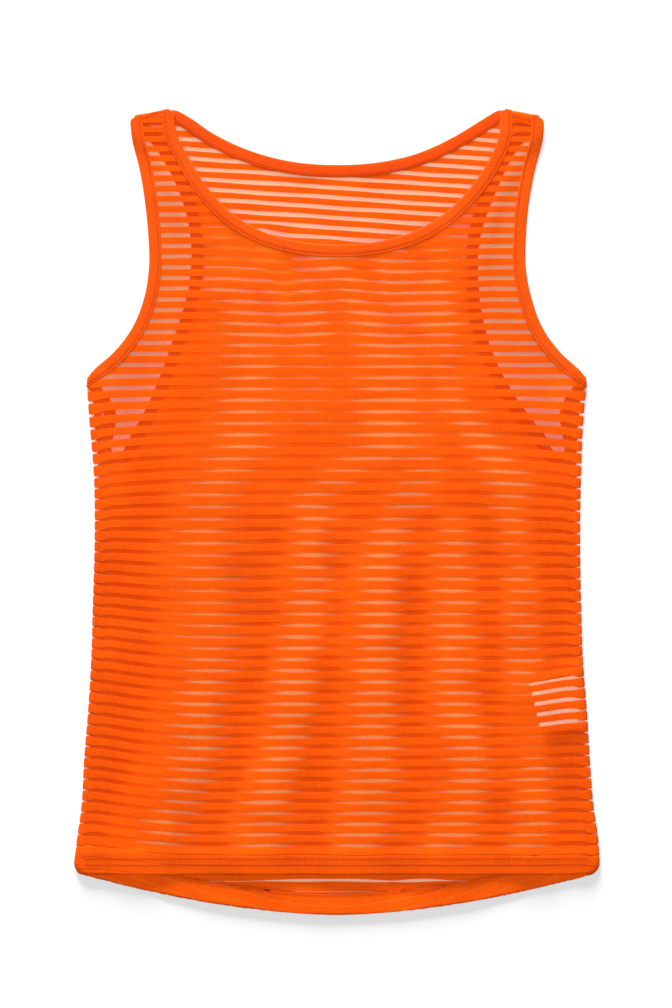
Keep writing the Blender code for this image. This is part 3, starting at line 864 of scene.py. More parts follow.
def back_painted_light(across, height, count):
    """Painted light: 1 where light from the ground comes through the back's sheer stripes."""
    neck = table_at(FRONT_NECK, across)
    window = smoothstep(0.0, NECK_BLUR, height - neck) * (np.abs(across) < SHOULDER_NECK[0])
    below = 1 - smoothstep(FRONT_HEM_HEIGHT - HEM_BLUR, FRONT_HEM_HEIGHT + HEM_BLUR, height)
    return np.maximum(np.maximum(window, below), through_both(across, count))


def no_shade(across, height):
    return np.zeros(np.shape(height))


def painted_front_shade(across, height):
    """Painted shade for the front's colour: 1 in the troughs between its soft folds, and down to -1
    where no back lies under it and where the back's armhole bindings do."""
    flat = flat_points(across, height)
    trough_shade = 1 - smoothstep(0.0, TROUGH_RISE, fold_rise(flat)).reshape(np.shape(height))
    trough_shade = trough_shade * (1 - smoothstep(*TROUGH_FADE, height))
    within = inside(flat, BACK_LAYER)
    edge = distance_to(flat, BACK_LAYER)
    low, high = WINDOW_SHADE
    deeper = low + (high - low) * smoothstep(*WINDOW_SHADE_HEIGHTS, flat[:, 1])
    beside = deeper * smoothstep(*WINDOW_SHADE_EDGE, np.where(within, 0.0, edge))
    beyond_neck = np.abs(flat[:, 0]) > BACK_ARMHOLE_NARROW
    band = BAND_SHADE * (within & (edge < BINDING_WIDTH) & beyond_neck)
    shaded = np.maximum(beside, band).reshape(np.shape(height))
    return trough_shade - shaded * (height > WAIST_TOP)


def shaded_armhole_windows(across, height):
    """True where the front lies beside the back, in the windows of the armholes, whose sheer
    stripes take a darker, denser copy of the sheer finish as painted shade.
    """
    beside = distance_outside(flat_points(across, height), BACK_LAYER) > WINDOW_MARGIN
    return beside.reshape(np.shape(height)) & (height > WAIST_TOP)


def mirrored_below(height, low):
    """Heights on a hem's turned cloth, as heights of the cloth that it lies against."""
    return np.where(height < low, 2 * low - height, height)


def panel_halves(span, fine, course, edges, hem, past_shoulder):
    """Both halves of a panel as flat lattices, and the courses' rows that they share."""
    half = bpy.context.scene.tank_top_cloth.sheer_share / 2
    rows = course_rows(*span, half, fine)
    halves = []
    for side, _ in SIDES:
        reach, neck = edges(side)
        halves.append(panel_half(
            side, lambda count, across: course(count, across, half), rows,
            lambda height: reach(mirrored_below(height, SIDE_FOOT)), neck,
            lambda across: hem(across) - HEM_DEPTH,
            lambda across: shoulder_height(across) + past_shoulder(SHOULDER_SEAM_DROP[side])))
    return halves, rows


def panel_piece(name, halves, rows, lay, shade_at, light_at, materials, windows_at=None):
    """A striped panel from its halves' lattices, with painted shade in the third value of its cloth
    grain and painted light in an attribute of its own. Its sheer stripes have the third material, a
    darker, denser copy of the sheer finish as painted shade, in the windows."""
    _, walls, sheer = rows
    points, weave, faces, slots, shares, light = [], [], [], [], [], []
    first = 0
    for across, height, count in halves:
        lines, columns = across.shape
        laid, z = lay(across, height)
        points.append(placed(across, laid, z))
        grain = (across * MM, course_height(count) * MM, shade_at(across, laid))
        weave.append(np.stack(grain, axis=-1).reshape(-1, 3))
        quads = lattice_faces(lines, columns, first)
        faces.append(quads if across[0, 0] < 0 else quads[:, ::-1])
        kinds = np.repeat(sheer[:-1, None], columns - 1, axis=1)
        if windows_at:
            near = windows_at(across, laid)
            near = near[:-1, :-1] | near[1:, :-1] | near[:-1, 1:] | near[1:, 1:]
            kinds = kinds + kinds * near
        slots.append(kinds.ravel())
        shares.append(np.repeat(walls, columns))
        light.append(light_at(across, laid, count).ravel())
        first += lines * columns
    made = make_piece(
        name, np.vstack(points), np.vstack(faces).tolist(), materials,
        np.vstack(weave), np.concatenate(slots), np.concatenate(shares), np.concatenate(light))
    return thicken(made, bpy.context.scene.tank_top_cloth.wall)


# --- bindings --------------------------------------------------------------------------------

# Round a binding's section, from its free edge over its top to its sewn edge and back under
BINDING_PROFILE = (  # share across, share up
    (0.00, 0.50), (0.015, 0.78), (0.055, 0.95), (0.16, 1.00), (0.34, 0.96), (0.54, 0.97),
    (0.70, 0.94), (0.765, 0.76), (0.83, 0.92), (0.93, 0.97), (0.985, 0.84), (1.00, 0.50),
    (0.985, 0.14), (0.90, 0.02), (0.765, 0.10), (0.62, 0.02), (0.34, 0.02), (0.09, 0.04),
    (0.015, 0.20),
)
BINDING_STITCH = 0.765
BINDING_INSIDE_UP = 0.3
PUCKERED = (0.6, 0.97)
PUCKER_DEPTH = 0.035
PUCKER_PITCH = 5.6
TURN_START = 1e-6


def rounded_ends(outer, inner, start, end):
    """The outer edge of one layer of a binding with its two corners rounded off."""
    run = run_along(outer)
    depth = np.zeros(len(run))
    for corner, distance in ((start, run), (end, run[-1] - run)):
        past = np.clip(1 - distance / corner, 0.0, 1.0)
        depth += corner * (1 - np.sqrt(1 - past**2))
    return outer + depth[:, None] * unit(inner - outer)


class Binding:
    """A band's stations all the way round. Each has the points of its two edges, how far it has
    turned over, and the way in which the fold bulges."""

    def __init__(self):
        self.stations = []

    def layer(self, outer, inner, turn, start, end):
        for a, b in zip(rounded_ends(outer, inner, start, end), inner):
            self.stations.append((*a, *b, turn, 0.0, 0.0))

    def fold(self, outer, inner, away, up, corner):
        outer = outer + corner * unit(inner - outer)
        steps = range(1, FOLD_STEPS)
        for step in steps if up else reversed(steps):
            self.stations.append((*outer, *inner, math.pi * step / FOLD_STEPS, *away))

    def points(self, across, up, at=None):
        """Points at a share across and shares up, at each station or at places between them."""
        table = np.array(self.stations)
        if at is not None:
            looped = np.vstack([table, table[:1]])
            keys = np.arange(len(looped))
            table = np.stack([np.interp(at, keys, column) for column in looped.T], axis=-1)
        outer, inner, turn, away = table[:, :2], table[:, 2:4], table[:, 4], table[:, 5:]
        flat = outer + across * (inner - outer)
        lift = up * (BINDING_WALL + (PANEL_WALL - BINDING_WALL) * turn / math.pi)
        radius = SEAM_GAP / 2 + lift
        flat = flat + (radius * np.sin(turn))[:, None] * away
        turned = PANEL_WALL + SEAM_GAP / 2 + radius * np.cos(turn)
        z = np.where(turn < TURN_START, front_underside(flat) + lift, turned)
        return placed(flat[:, 0], flat[:, 1], z)

    def run(self):
        table = np.array(self.stations)
        middle = (table[:, :2] + table[:, 2:4]) / 2
        return run_along(np.vstack([middle, middle[:1]]))


def shoulder_away(side):
    slope = shoulder_line(side)
    return np.array([side * slope[1], abs(slope[0])])


def band_round(front, back, front_corners, last_away, first_away):
    """A binding that runs along the front, turns over, runs back along the back, and turns."""
    start, end = front_corners
    band = Binding()
    band.layer(*front, 0.0, start, end)
    band.fold(front[0][-1], front[1][-1], last_away, True, end)
    band.layer(back[0][::-1], back[1][::-1], math.pi, end, start)
    band.fold(front[0][0], front[1][0], first_away, False, start)
    return band


def neck_band():
    return band_round(
        neck_edges(FRONT_NECK), neck_edges(BACK_NECK), (SHOULDER_CORNER, SHOULDER_CORNER),
        shoulder_away(1), shoulder_away(-1))


def armhole_band(side):
    return band_round(
        armhole_edges(FRONT_ARMHOLE, side), armhole_edges(BACK_ARMHOLE, side),
        (SHOULDER_CORNER, UNDERARM_CORNER), np.array([side * 1.0, 0.0]), shoulder_away(side))


def bands():
    """Each binding by the word in its pieces' names, and its CAD node."""
    yield "neck_{}", neck_band(), "neck_binding"
    for side, word in SIDES:
        yield f"armhole_{{}}_{word}", armhole_band(side), f"armhole_binding_{word}"


def binding_piece(name, band, materials):
    """The band as a soft flattened tube, with another finish on its inside: the wrong side of the
    knit, painted a little darker as shade.
    """
    run = band.run()[:-1]
    pucker = 1 + PUCKER_DEPTH * np.sin(run * 2 * math.pi / PUCKER_PITCH) * np.sin(run / 23.0)
    rings, grain = [], []
    for across, up in BINDING_PROFILE:
        dent = pucker if PUCKERED[0] < across < PUCKERED[1] else np.ones_like(run)
        rings.append(band.points(across, up * dent))
        grain.append(placed_grain(run, np.full(len(run), across * BINDING_WIDTH)))
    inner_face = [int(up < BINDING_INSIDE_UP) for _, up in BINDING_PROFILE]
    return outwards(make_piece(
        name, np.stack(rings, axis=1).reshape(-1, 3),
        lattice_faces(len(run), len(rings), ring=True, loop=True).tolist(), materials,
        np.stack(grain, axis=1).reshape(-1, 3), np.tile(np.array(inner_face, np.int32), len(run))))


def placed_grain(along, across):
    """Cloth directions in metres, from lengths in millimetres."""
    return np.stack([along, across, 0 * along], axis=-1).reshape(-1, 3) * MM


# --- thread ----------------------------------------------------------------------------------

THREAD_SIDES = 6
THREAD_TAPER = 0.45
STITCH_GAP = 0.5
# A stitch comes up out of the cloth and goes down into it.
STITCH_SHAPE = np.array([(0.0, -1.0), (0.12, 0.45), (0.5, 1.0), (0.88, 0.45), (1.0, -1.0)])


def thread_tube(path, radius, first):
    """Points and faces of a thread along a path, closed at both ends. It lies on the ground
    where its path is lower."""
    path = np.array(path, float)
    path[:, 2] = np.maximum(path[:, 2], radius)
    tangent = unit(np.gradient(path, axis=0))
    side = np.cross(tangent, np.array([0.0, 0.0, 1.0]))
    side = side / np.maximum(np.linalg.norm(side, axis=1, keepdims=True), 1e-9)
    top = np.cross(side, tangent)
    turns = (np.arange(THREAD_SIDES) * 2 * math.pi / THREAD_SIDES)[None, :, None]
    taper = np.ones(len(path))
    taper[[0, -1]] = THREAD_TAPER
    ring = np.cos(turns) * side[:, None] + np.sin(turns) * top[:, None]
    points = path[:, None] + ring * (radius * taper)[:, None, None]
    faces = lattice_faces(len(path), THREAD_SIDES, first, ring=True).tolist()
    last = first + (len(path) - 1) * THREAD_SIDES
    faces.append(list(range(first + THREAD_SIDES - 1, first - 1, -1)))
    faces.append(list(range(last, last + THREAD_SIDES)))
    return points.reshape(-1, 3), faces


def thread_piece(name, paths, radius, material):
    """Many short threads as one piece."""
    points, faces, grain = [], [], []
    first = 0
    for path in paths:
        tube, quads = thread_tube(path, radius, first)
        points.append(tube)
        faces += quads
        along = np.repeat(run_along(np.asarray(path)), THREAD_SIDES)
        round_it = np.tile(np.arange(THREAD_SIDES), len(path)) * radius
        grain.append(np.stack([along, round_it, 0 * along], axis=1))
        first += len(tube)
    return outwards(make_piece(name, np.vstack(points), faces, [material], np.vstack(grain)))


def stitches(line_at, length, stitch, sink, rise):
    """Short threads along a line: line_at gives points for distances along it, and lift."""
    paths = []
    place, bend = STITCH_SHAPE.T
    for i in range(int(length // stitch)):
        along = i * stitch + STITCH_GAP / 2 + place * (stitch - STITCH_GAP)
        paths.append(line_at(along, np.where(bend < 0, sink, rise * bend)))
    return paths


# --- finishes --------------------------------------------------------------------------------


def put(tree, kind, inputs=None, **settings):
    """A node of a kind, with its settings, and its sockets set or linked."""
    node = tree.nodes.new("ShaderNode" + kind)
    for key, value in settings.items():
        setattr(node, key, value)
    for key, value in (inputs or {}).items():
        if isinstance(value, bpy.types.NodeSocket):
            tree.links.new(value, node.inputs[key])
        else:
            node.inputs[key].default_value = value
    return node


def reckon(tree, operation, first, second):
    return put(tree, "Math", {0: first, 1: second}, operation=operation).outputs[0]


def ramp(tree, factor, stops):
    node = put(tree, "ValToRGB", {"Fac": factor})
    elements = node.color_ramp.elements
    while len(elements) < len(stops):
        elements.new(0.5)
    for element, (place, colour) in zip(elements, stops):
        element.position = place
        element.color = (*colour, 1.0)
    return node.outputs["Color"]


def shade(colour, share):
    return tuple(min(c * share, 1.0) for c in colour)


def grain_vector(tree, scale=(1.0, 1.0)):
    """Places along and across the cloth, without the painted shade in its third value."""
    grain = put(tree, "Attribute", attribute_name="cloth_grain").outputs["Vector"]
    return put(tree, "Mapping", {"Vector": grain, "Scale": (*scale, 0.0)}).outputs["Vector"]


def bands_texture(tree, vector, period, direction, distortion=0.0, detail=2.0):
    """Waves of a period in millimetres."""
    inputs = {"Vector": vector, "Scale": 2 * math.pi / (20 * period * MM),
              "Distortion": distortion, "Detail": detail}
    return put(tree, "TexWave", inputs, wave_type="BANDS", bands_direction=direction).outputs["Fac"]


def noise_texture(tree, vector, scale, **inputs):
    return put(tree, "TexNoise", {"Vector": vector, "Scale": scale, **inputs}).outputs["Fac"]


def finish_material(name, build):
    """A material whose shader is set up by a function of its tree and shader, which may give
    another shader to show."""
    material = bpy.data.materials.new(name)
    material.use_nodes = True
    tree = material.node_tree
    tree.nodes.clear()
    shader = put(tree, "BsdfPrincipled")
    shown = build(tree, shader) or shader
    put(tree, "OutputMaterial", {"Surface": shown.outputs[0]})
    return material


def dress(tree, shader, colour, relief=None, strength=0.0, distance=0.0, **constants):
    """Sets a shader's colour, its relief, and the values that are the same all over."""
    tree.links.new(colour, shader.inputs["Base Color"])
    if relief is not None:
        bump = put(tree, "Bump", {"Height": relief, "Strength": strength, "Distance": distance})
        tree.links.new(bump.outputs["Normal"], shader.inputs["Normal"])
    for key, value in constants.items():
        shader.inputs[key.replace("_", " ")].default_value = value


def yarn_tint(tree, tone, colour, contrast):
    low, high = 1 - contrast, 1 + 0.7 * contrast
    dark = (colour[0] * low, colour[1] * low * 0.78, colour[2] * low * 0.6)
    return ramp(tree, tone, ((0.0, dark), (0.5, colour), (1.0, shade(colour, high))))


RIB_WANDER, LOOP_WANDER = 1.2, 1.6
YARN_SCALE = (700.0, 190.0)
PATCH_SCALE = 28.0
# How much painted shade darkens a sheer knit and an opaque one
SHEER_PAINTED_SHADE, OPAQUE_PAINTED_SHADE = 0.5, 0.12
KNIT_RELIEF = 0.0003


def knit_finish(name, colour, wale, course, opacity=1.0, contrast=0.24, through=0.0, lit=None):
    """Fine knit jersey: ribs of loops, yarn that varies a little, and a soft nap, darkened by
    painted shade. A sheer one has a second, lighter colour as painted light where light comes
    through it."""
    def build(tree, shader):
        grain = grain_vector(tree)
        ribs = bands_texture(tree, grain, wale, "X", RIB_WANDER, 1.0)
        loops = bands_texture(tree, grain, course, "Y", LOOP_WANDER, 1.0)
        knit = reckon(tree, "MULTIPLY", ribs, loops)
        yarn = noise_texture(
            tree, grain_vector(tree, YARN_SCALE), 1.0, Detail=3.0, Roughness=0.6)
        patches = noise_texture(tree, grain, PATCH_SCALE, Detail=2.0)
        tone = reckon(tree, "ADD", yarn, patches)
        tone = reckon(tree, "ADD", tone, knit)
        tone = put(tree, "MapRange", {"Value": tone, "From Min": 0.6, "From Max": 1.9}).outputs[0]
        # Painted shade from the third value of the cloth grain: an opaque knit takes it in the
        # troughs only, a sheer one also where it is below 0
        folds = put(tree, "Attribute", attribute_name="cloth_grain").outputs["Vector"]
        depth = put(tree, "SeparateXYZ", {"Vector": folds}).outputs["Z"]
        depth = reckon(tree, "ABSOLUTE" if lit else "MAXIMUM", depth, 0.0)
        depth = reckon(tree, "MULTIPLY", depth, SHEER_PAINTED_SHADE if lit else OPAQUE_PAINTED_SHADE)
        tone = reckon(tree, "SUBTRACT", tone, depth)
        tint = yarn_tint(tree, tone, colour, contrast)
        # Painted light: a lighter copy of the colour where light comes through the sheer knit
        if lit:
            light = put(tree, "Attribute", attribute_name="painted_light").outputs["Fac"]
            lit_tint = yarn_tint(tree, tone, lit, contrast)
            tint = put(tree, "Mix", {0: light, 6: tint, 7: lit_tint}, data_type="RGBA").outputs[2]
        rough = put(tree, "MapRange", {"Value": yarn, "To Min": 0.62, "To Max": 0.86})
        tree.links.new(rough.outputs[0], shader.inputs["Roughness"])
        dress(tree, shader, tint, knit, 0.4, KNIT_RELIEF, Alpha=opacity, Specular_IOR_Level=0.06,
              Sheen_Weight=0.03, Sheen_Roughness=0.5, Sheen_Tint=(1.0, 0.5, 0.2, 1.0))
        if through:
            behind = put(tree, "BsdfTranslucent", {"Color": tint})
            return put(tree, "MixShader", {
                "Fac": through, 1: shader.outputs["BSDF"], 2: behind.outputs["BSDF"]})
    return finish_material(name, build)


def thread_finish(name, colour):
    """Twisted sewing thread."""
    def build(tree, shader):
        ply = bands_texture(tree, grain_vector(tree), 0.5, "DIAGONAL")
        stops = ((0.0, shade(colour, 0.8)), (1.0, shade(colour, 1.1)))
        dress(tree, shader, ramp(tree, ply, stops), ply, 0.4, 0.0001,
              Roughness=0.6, Specular_IOR_Level=0.1)
    return finish_material(name, build)


def satin_finish(name, colour):
    """Smooth woven label tape."""
    def build(tree, shader):
        grain = grain_vector(tree)
        weft = bands_texture(tree, grain, 0.35, "Y", 0.6)
        tone = reckon(tree, "MULTIPLY", weft, noise_texture(tree, grain, 160.0))
        stops = ((0.0, shade(colour, 0.93)), (1.0, shade(colour, 1.04)))
        dress(tree, shader, ramp(tree, tone, stops), weft, 0.15, 0.0001, Roughness=0.38)
    return finish_material(name, build)


def floor_finish(name, colour):
    def build(tree, shader):
        place = put(tree, "TexCoord").outputs["Object"]
        stops = ((0.0, shade(colour, 0.99)), (1.0, colour))
        dress(tree, shader, ramp(tree, noise_texture(tree, place, 3.0), stops), Roughness=0.9)
    return finish_material(name, build)


# --- settings --------------------------------------------------------------------------------


class TankTopCloth(bpy.types.PropertyGroup):
    stripe_colour: FloatVectorProperty(
        name="Stripe Colour", description="Colour of the opaque stripes",
        subtype="COLOR", size=3, min=0.0, max=1.0, default=(0.80, 0.095, 0.0))
    sheer_colour: FloatVectorProperty(
        name="Sheer Colour", description="Colour of the sheer stripes over another stripe",
        subtype="COLOR", size=3, min=0.0, max=1.0, default=(1.0, 0.09, 0.0))
    # Painted light: the lighter colour of the sheer stripes where light comes through them
    painted_light_colour: FloatVectorProperty(
        name="Open Colour", description="Colour of the sheer stripes where light comes through",
        subtype="COLOR", size=3, min=0.0, max=1.0, default=(0.97, 0.29, 0.03))
    sheer_opacity: FloatProperty(
        name="Sheer Opacity", description="How much each face of a sheer stripe hides",
        subtype="FACTOR", min=0.05, max=1.0, default=0.25)
    sheer_share: FloatProperty(
        name="Sheer Share", description="Share of a course that is sheer",
        subtype="FACTOR", min=0.1, max=0.7, default=0.41)
    wall: FloatProperty(
        name="Cloth Thickness", description="Thickness of an opaque stripe",
        unit="LENGTH", min=0.0002, max=0.0009, default=0.00038)


class TankTopBinding(bpy.types.PropertyGroup):
    colour: FloatVectorProperty(
        name="Binding Colour", description="Colour of the neck and armhole bindings",
        subtype="COLOR", size=3, min=0.0, max=1.0, default=(0.57, 0.060, 0.0))
    # The inner face: the wrong side of the knit, painted a little darker and redder as shade
    inside_and_shade_colour: FloatVectorProperty(
        name="Inside Colour", description="Colour of the bindings' inner face",
        subtype="COLOR", size=3, min=0.0, max=1.0, default=(0.54, 0.046, 0.0))


class TankTopSewing(bpy.types.PropertyGroup):
    colour: FloatVectorProperty(
        name="Thread Colour", description="Colour of the sewing thread",
        subtype="COLOR", size=3, min=0.0, max=1.0, default=(0.34, 0.010, 0.0))
    stitch: FloatProperty(
        name="Stitch Length", description="Length of one stitch",
        unit="LENGTH", min=0.001, max=0.006, default=0.0028)
    thickness: FloatProperty(
        name="Thread Thickness", description="Diameter of the sewing thread",
        unit="LENGTH", min=0.0001, max=0.001, default=0.0005)


class TankTopStage(bpy.types.PropertyGroup):
    floor_colour: FloatVectorProperty(
        name="Floor Colour", description="Colour of the plain floor",
        subtype="COLOR", size=3, min=0.0, max=1.0, default=(0.61, 0.61, 0.61))
    camera_height: FloatProperty(
        name="Camera Height", description="Height of the camera above the floor",
        unit="LENGTH", min=0.5, max=10.0, default=2.6)
    view_length: FloatProperty(
        name="View Length", description="Length of floor that the upright picture shows",
        unit="LENGTH", min=0.1, max=5.0, default=0.8548)
    sky: FloatProperty(
        name="Sky Strength", description="Strength of the even light from all round",
        min=0.0, max=10.0, default=0.2)
    key_power: FloatProperty(
        name="Key Light", description="Power of the soft low light beyond the shoulders",
        unit="POWER", min=0.0, max=9000.0, default=2950.0)
    top_power: FloatProperty(
        name="Top Light", description="Power of the wide light overhead",
        unit="POWER", min=0.0, max=9000.0, default=116.0)


# Widths of a rib and of a row of loops, in millimetres
BODY_KNIT = (1.1, 0.9)
SHEER_KNIT = (0.8, 0.8)
INSIDE_KNIT = (0.9, 1.1)
SHEER_CONTRAST = 0.34
OPAQUE_THROUGH = 0.34


def sheer_finish(name, tint, opacity):
    cloth = bpy.context.scene.tank_top_cloth
    return knit_finish(
        name, shade(cloth.sheer_colour, tint), *SHEER_KNIT, cloth.sheer_opacity * opacity,
        SHEER_CONTRAST, lit=shade(cloth.painted_light_colour, tint))


def shared_finish(name):
    """A finish that several pieces share, made once."""
    scene = bpy.context.scene
    makers = {
        "opaque_stripe": lambda: knit_finish(
            name, scene.tank_top_cloth.stripe_colour[:], *BODY_KNIT, through=OPAQUE_THROUGH),
        "sheer_stripe": lambda: sheer_finish(name, 1.0, 1.0),
        # A darker, denser copy of the sheer finish: painted shade in the armhole windows
        "armhole_sheer_stripe": lambda: sheer_finish(name, WINDOW_SHADE_TINT, WINDOW_SHADE_OPACITY),
        "binding_knit": lambda: knit_finish(name, scene.tank_top_binding.colour[:], *BODY_KNIT),
        "binding_knit_inside_shaded": lambda: knit_finish(
            name, scene.tank_top_binding.inside_and_shade_colour[:], *INSIDE_KNIT),
        "sewing_thread": lambda: thread_finish(name, scene.tank_top_sewing.colour[:]),
    }
    return bpy.data.materials.get(name) or makers[name]()


# --- operators -------------------------------------------------------------------------------


class TANK_TOP_OT_back_panel(bpy.types.Operator):
    """Builds the back panel on the ground, with its hem turned up and its shoulders turned over"""

    bl_idname = "tank_top.back_panel"
    bl_label = "Back Panel"

    def execute(self, context):
        halves, rows = panel_halves(
            BACK_SPAN, BACK_FINE_HEIGHTS, back_course, back_edges, back_hem_height,
            lambda drop: drop + math.pi * SHOULDER_RADIUS)
        made = panel_piece(
            "back_jersey", halves, rows, lay_back, no_shade, back_painted_light,
            [shared_finish("opaque_stripe"), shared_finish("sheer_stripe")])
        ride_and_state(made, "sheer_stripe_jersey", "back_panel")
        return {"FINISHED"}


class TANK_TOP_OT_front_panel(bpy.types.Operator):
    """Builds the front panel on the back, with its hem turned under"""

    bl_idname = "tank_top.front_panel"
    bl_label = "Front Panel"

    def execute(self, context):
        halves, rows = panel_halves(
            FRONT_SPAN, FRONT_FINE_HEIGHTS, front_course, front_edges, front_hem_height,
            lambda drop: -drop)
        names = ("opaque_stripe", "sheer_stripe", "armhole_sheer_stripe")
        made = panel_piece(
            "front_jersey", halves, rows, lay_front, painted_front_shade, front_painted_light,
            [shared_finish(name) for name in names], shaded_armhole_windows)
        ride_and_state(made, "sheer_stripe_jersey", "front_panel")
        return {"FINISHED"}


class TANK_TOP_OT_bindings(bpy.types.Operator):
    """Builds the neck binding and the two armhole bindings"""

    bl_idname = "tank_top.bindings"
    bl_label = "Bindings"

    def execute(self, context):
        finishes = [shared_finish("binding_knit"), shared_finish("binding_knit_inside_shaded")]
        for name, band, node in bands():
            made = binding_piece(name.format("band"), band, finishes)
            ride_and_state(made, "self_binding", node)
        return {"FINISHED"}


LABEL_POINTS = 25
LABEL_SIZE = (46.0, 40.0)
LABEL_LIFT = 0.25
LABEL_TAPE = 0.0003
LABEL_COLOUR = (0.76, 0.66, 0.58)


class TANK_TOP_OT_care_label(bpy.types.Operator):
    """Builds the blank care label inside the right side seam"""

    bl_idname = "tank_top.care_label"
    bl_label = "Care Label"

    def execute(self, context):
        corners = np.array(CARE_LABEL)
        u, v = np.meshgrid(*[np.linspace(0.0, 1.0, LABEL_POINTS)] * 2)
        top = corners[0] + u[..., None] * (corners[1] - corners[0])
        bottom = corners[3] + u[..., None] * (corners[2] - corners[3])
        flat = top + v[..., None] * (bottom - top)
        wave = 0.18 * np.sin(u * 7 + v * 2) * np.sin(v * 4)
        made = make_piece(
            "blank_care_label",
            placed(flat[..., 0], flat[..., 1], PANEL_WALL + SEAM_GAP + LABEL_LIFT + wave),
            lattice_faces(LABEL_POINTS, LABEL_POINTS).tolist(),
            [satin_finish("label_tape", LABEL_COLOUR)],
            placed_grain(u * LABEL_SIZE[0], v * LABEL_SIZE[1]), walls=np.ones(u.size))
        ride_and_state(thicken(made, LABEL_TAPE), "label_satin", "care_label")
        return {"FINISHED"}


# Share up a binding of the stitches on its top and on its underside, and which way they rise
BINDING_SEAMS = ((0.80, 1), (0.10, -1))
BINDING_SINK, BINDING_RISE = -0.2, 0.12
FRONT_HEM_LEVELS = (47.5, 42.2)
FRONT_HEM_SEWN = 214.0
FRONT_SINK, FRONT_RISE = -0.2, 0.14
BACK_HEM_LEVELS = (HEM_DEPTH - 4.6, HEM_DEPTH + 0.6)
BACK_HEM_SEWN = 208.0
BACK_SINK, BACK_RISE = -0.1, 0.04
UNDERSIDE_THREAD = 0.12
INSIDE_THREAD = 0.8
COVER_STEP = 1.7
COVER_REACH = 2.6
COVER_BELOW = 1.6
COVER_LIFT = 0.3
COVER_HEMS = (
    # piece, hem, half its sewn width, which way the inside faces
    ("back_hem_cover", back_hem_height, 205.0, 1),
    ("front_hem_cover", front_hem_height, 212.0, -1),
)


class TANK_TOP_OT_sewing(bpy.types.Operator):
    """Sews the bindings and hems with rows of stitches"""

    bl_idname = "tank_top.sewing"
    bl_label = "Sewing"

    def execute(self, context):
        sewing = context.scene.tank_top_sewing
        finish = shared_finish("sewing_thread")
        stitch, radius = sewing.stitch / MM, sewing.thickness / 2
        for name, band, _ in bands():
            paths = binding_stitches(band, stitch)
            made = thread_piece(name.format("stitches"), paths, radius, finish)
            ride_and_state(made, "self_binding")
        hems = (
            ("front_hem_stitches", front_hem_rows(stitch), radius),
            *((name, cover_threads(*hem), radius * INSIDE_THREAD) for name, *hem in COVER_HEMS),
            ("back_hem_stitches", back_hem_rows(stitch), radius * INSIDE_THREAD),
        )
        for name, paths, thick in hems:
            ride_and_state(thread_piece(name, paths, thick, finish), "sheer_stripe_jersey")
        return {"FINISHED"}


def binding_stitches(band, stitch):
    run = band.run()
    stations = np.arange(len(run))
    paths = []
    for share, way in BINDING_SEAMS:
        def line_at(along, lift, share=share, way=way):
            up = share + way * lift / BINDING_WALL
            return band.points(BINDING_STITCH, up, np.interp(along, run, stations))
        paths += stitches(line_at, run[-1], stitch, BINDING_SINK, BINDING_RISE)
    return paths


def front_hem_rows(stitch):
    half_wall = bpy.context.scene.tank_top_cloth.wall / MM / 2
    paths = []
    for level in FRONT_HEM_LEVELS:
        def row_at(along, lift, level=level):
            across = along - FRONT_HEM_SEWN
            height = np.full(len(along), level)
            z = front_middle(across, height) + 2 * HEM_TURN_RADIUS + half_wall + lift
            return placed(across, height, z)
        paths += stitches(row_at, 2 * FRONT_HEM_SEWN, stitch, FRONT_SINK, FRONT_RISE)
    return paths


def back_hem_rows(stitch):
    """The back hem's stitches on its underside."""
    paths = []
    for above in BACK_HEM_LEVELS:
        def row_at(along, lift, above=above):
            across = along - BACK_HEM_SEWN
            height = back_hem_height(across) + above
            under = back_middle(across, height) - BACK_LIFT
            return placed(across, height, UNDERSIDE_THREAD + under - lift)
        paths += stitches(row_at, 2 * BACK_HEM_SEWN, stitch, BACK_SINK, BACK_RISE)
    return paths


def cover_threads(hem, reach, way):
    """Two zigzag threads over a hem's raw edge."""
    across = np.arange(-reach, reach, COVER_STEP)
    step = np.arange(len(across))
    paths = []
    for phase, wide in ((0, 1.0), (1, 0.8)):
        swing = np.where((step + phase) % 2 == 0, -1.0, 1.0) * COVER_REACH * wide
        ragged = 0.35 * np.sin(across * 1.7 + phase) + 0.25 * np.sin(across * 0.61)
        above = HEM_DEPTH - COVER_BELOW + swing + ragged
        height = hem(across) + above
        if way > 0:
            z = back_middle(across, height) + hem_lift(above)
        else:
            z = front_middle(across, height)
        paths.append(placed(across, height, z + way * (COVER_LIFT + 0.1 * (1 + phase))))
    return paths


# Seam allowances: how far in from the side edge and how far from the shoulder seam they reach
SIDE_ALLOWANCE = (4.4, 11.6)
SIDE_ALLOWANCE_SPAN = (44.0, 441.0, 2.0)
SHOULDER_ALLOWANCE = (2.6, -4.4)
SHOULDER_ALLOWANCE_ENDS = (4.0, -3.0)
SHOULDER_ALLOWANCE_POINTS = 18
ALLOWANCE_COLUMNS = 6
ALLOWANCE_WALL = 0.3
OVERLOCK_STEP = 1.25
OVERLOCK_END = 0.6
OVERLOCK_SWING = (-0.5, 3.6)
OVERLOCK_RADIUS = 0.00016
OVERLOCK_LIFT = 0.05


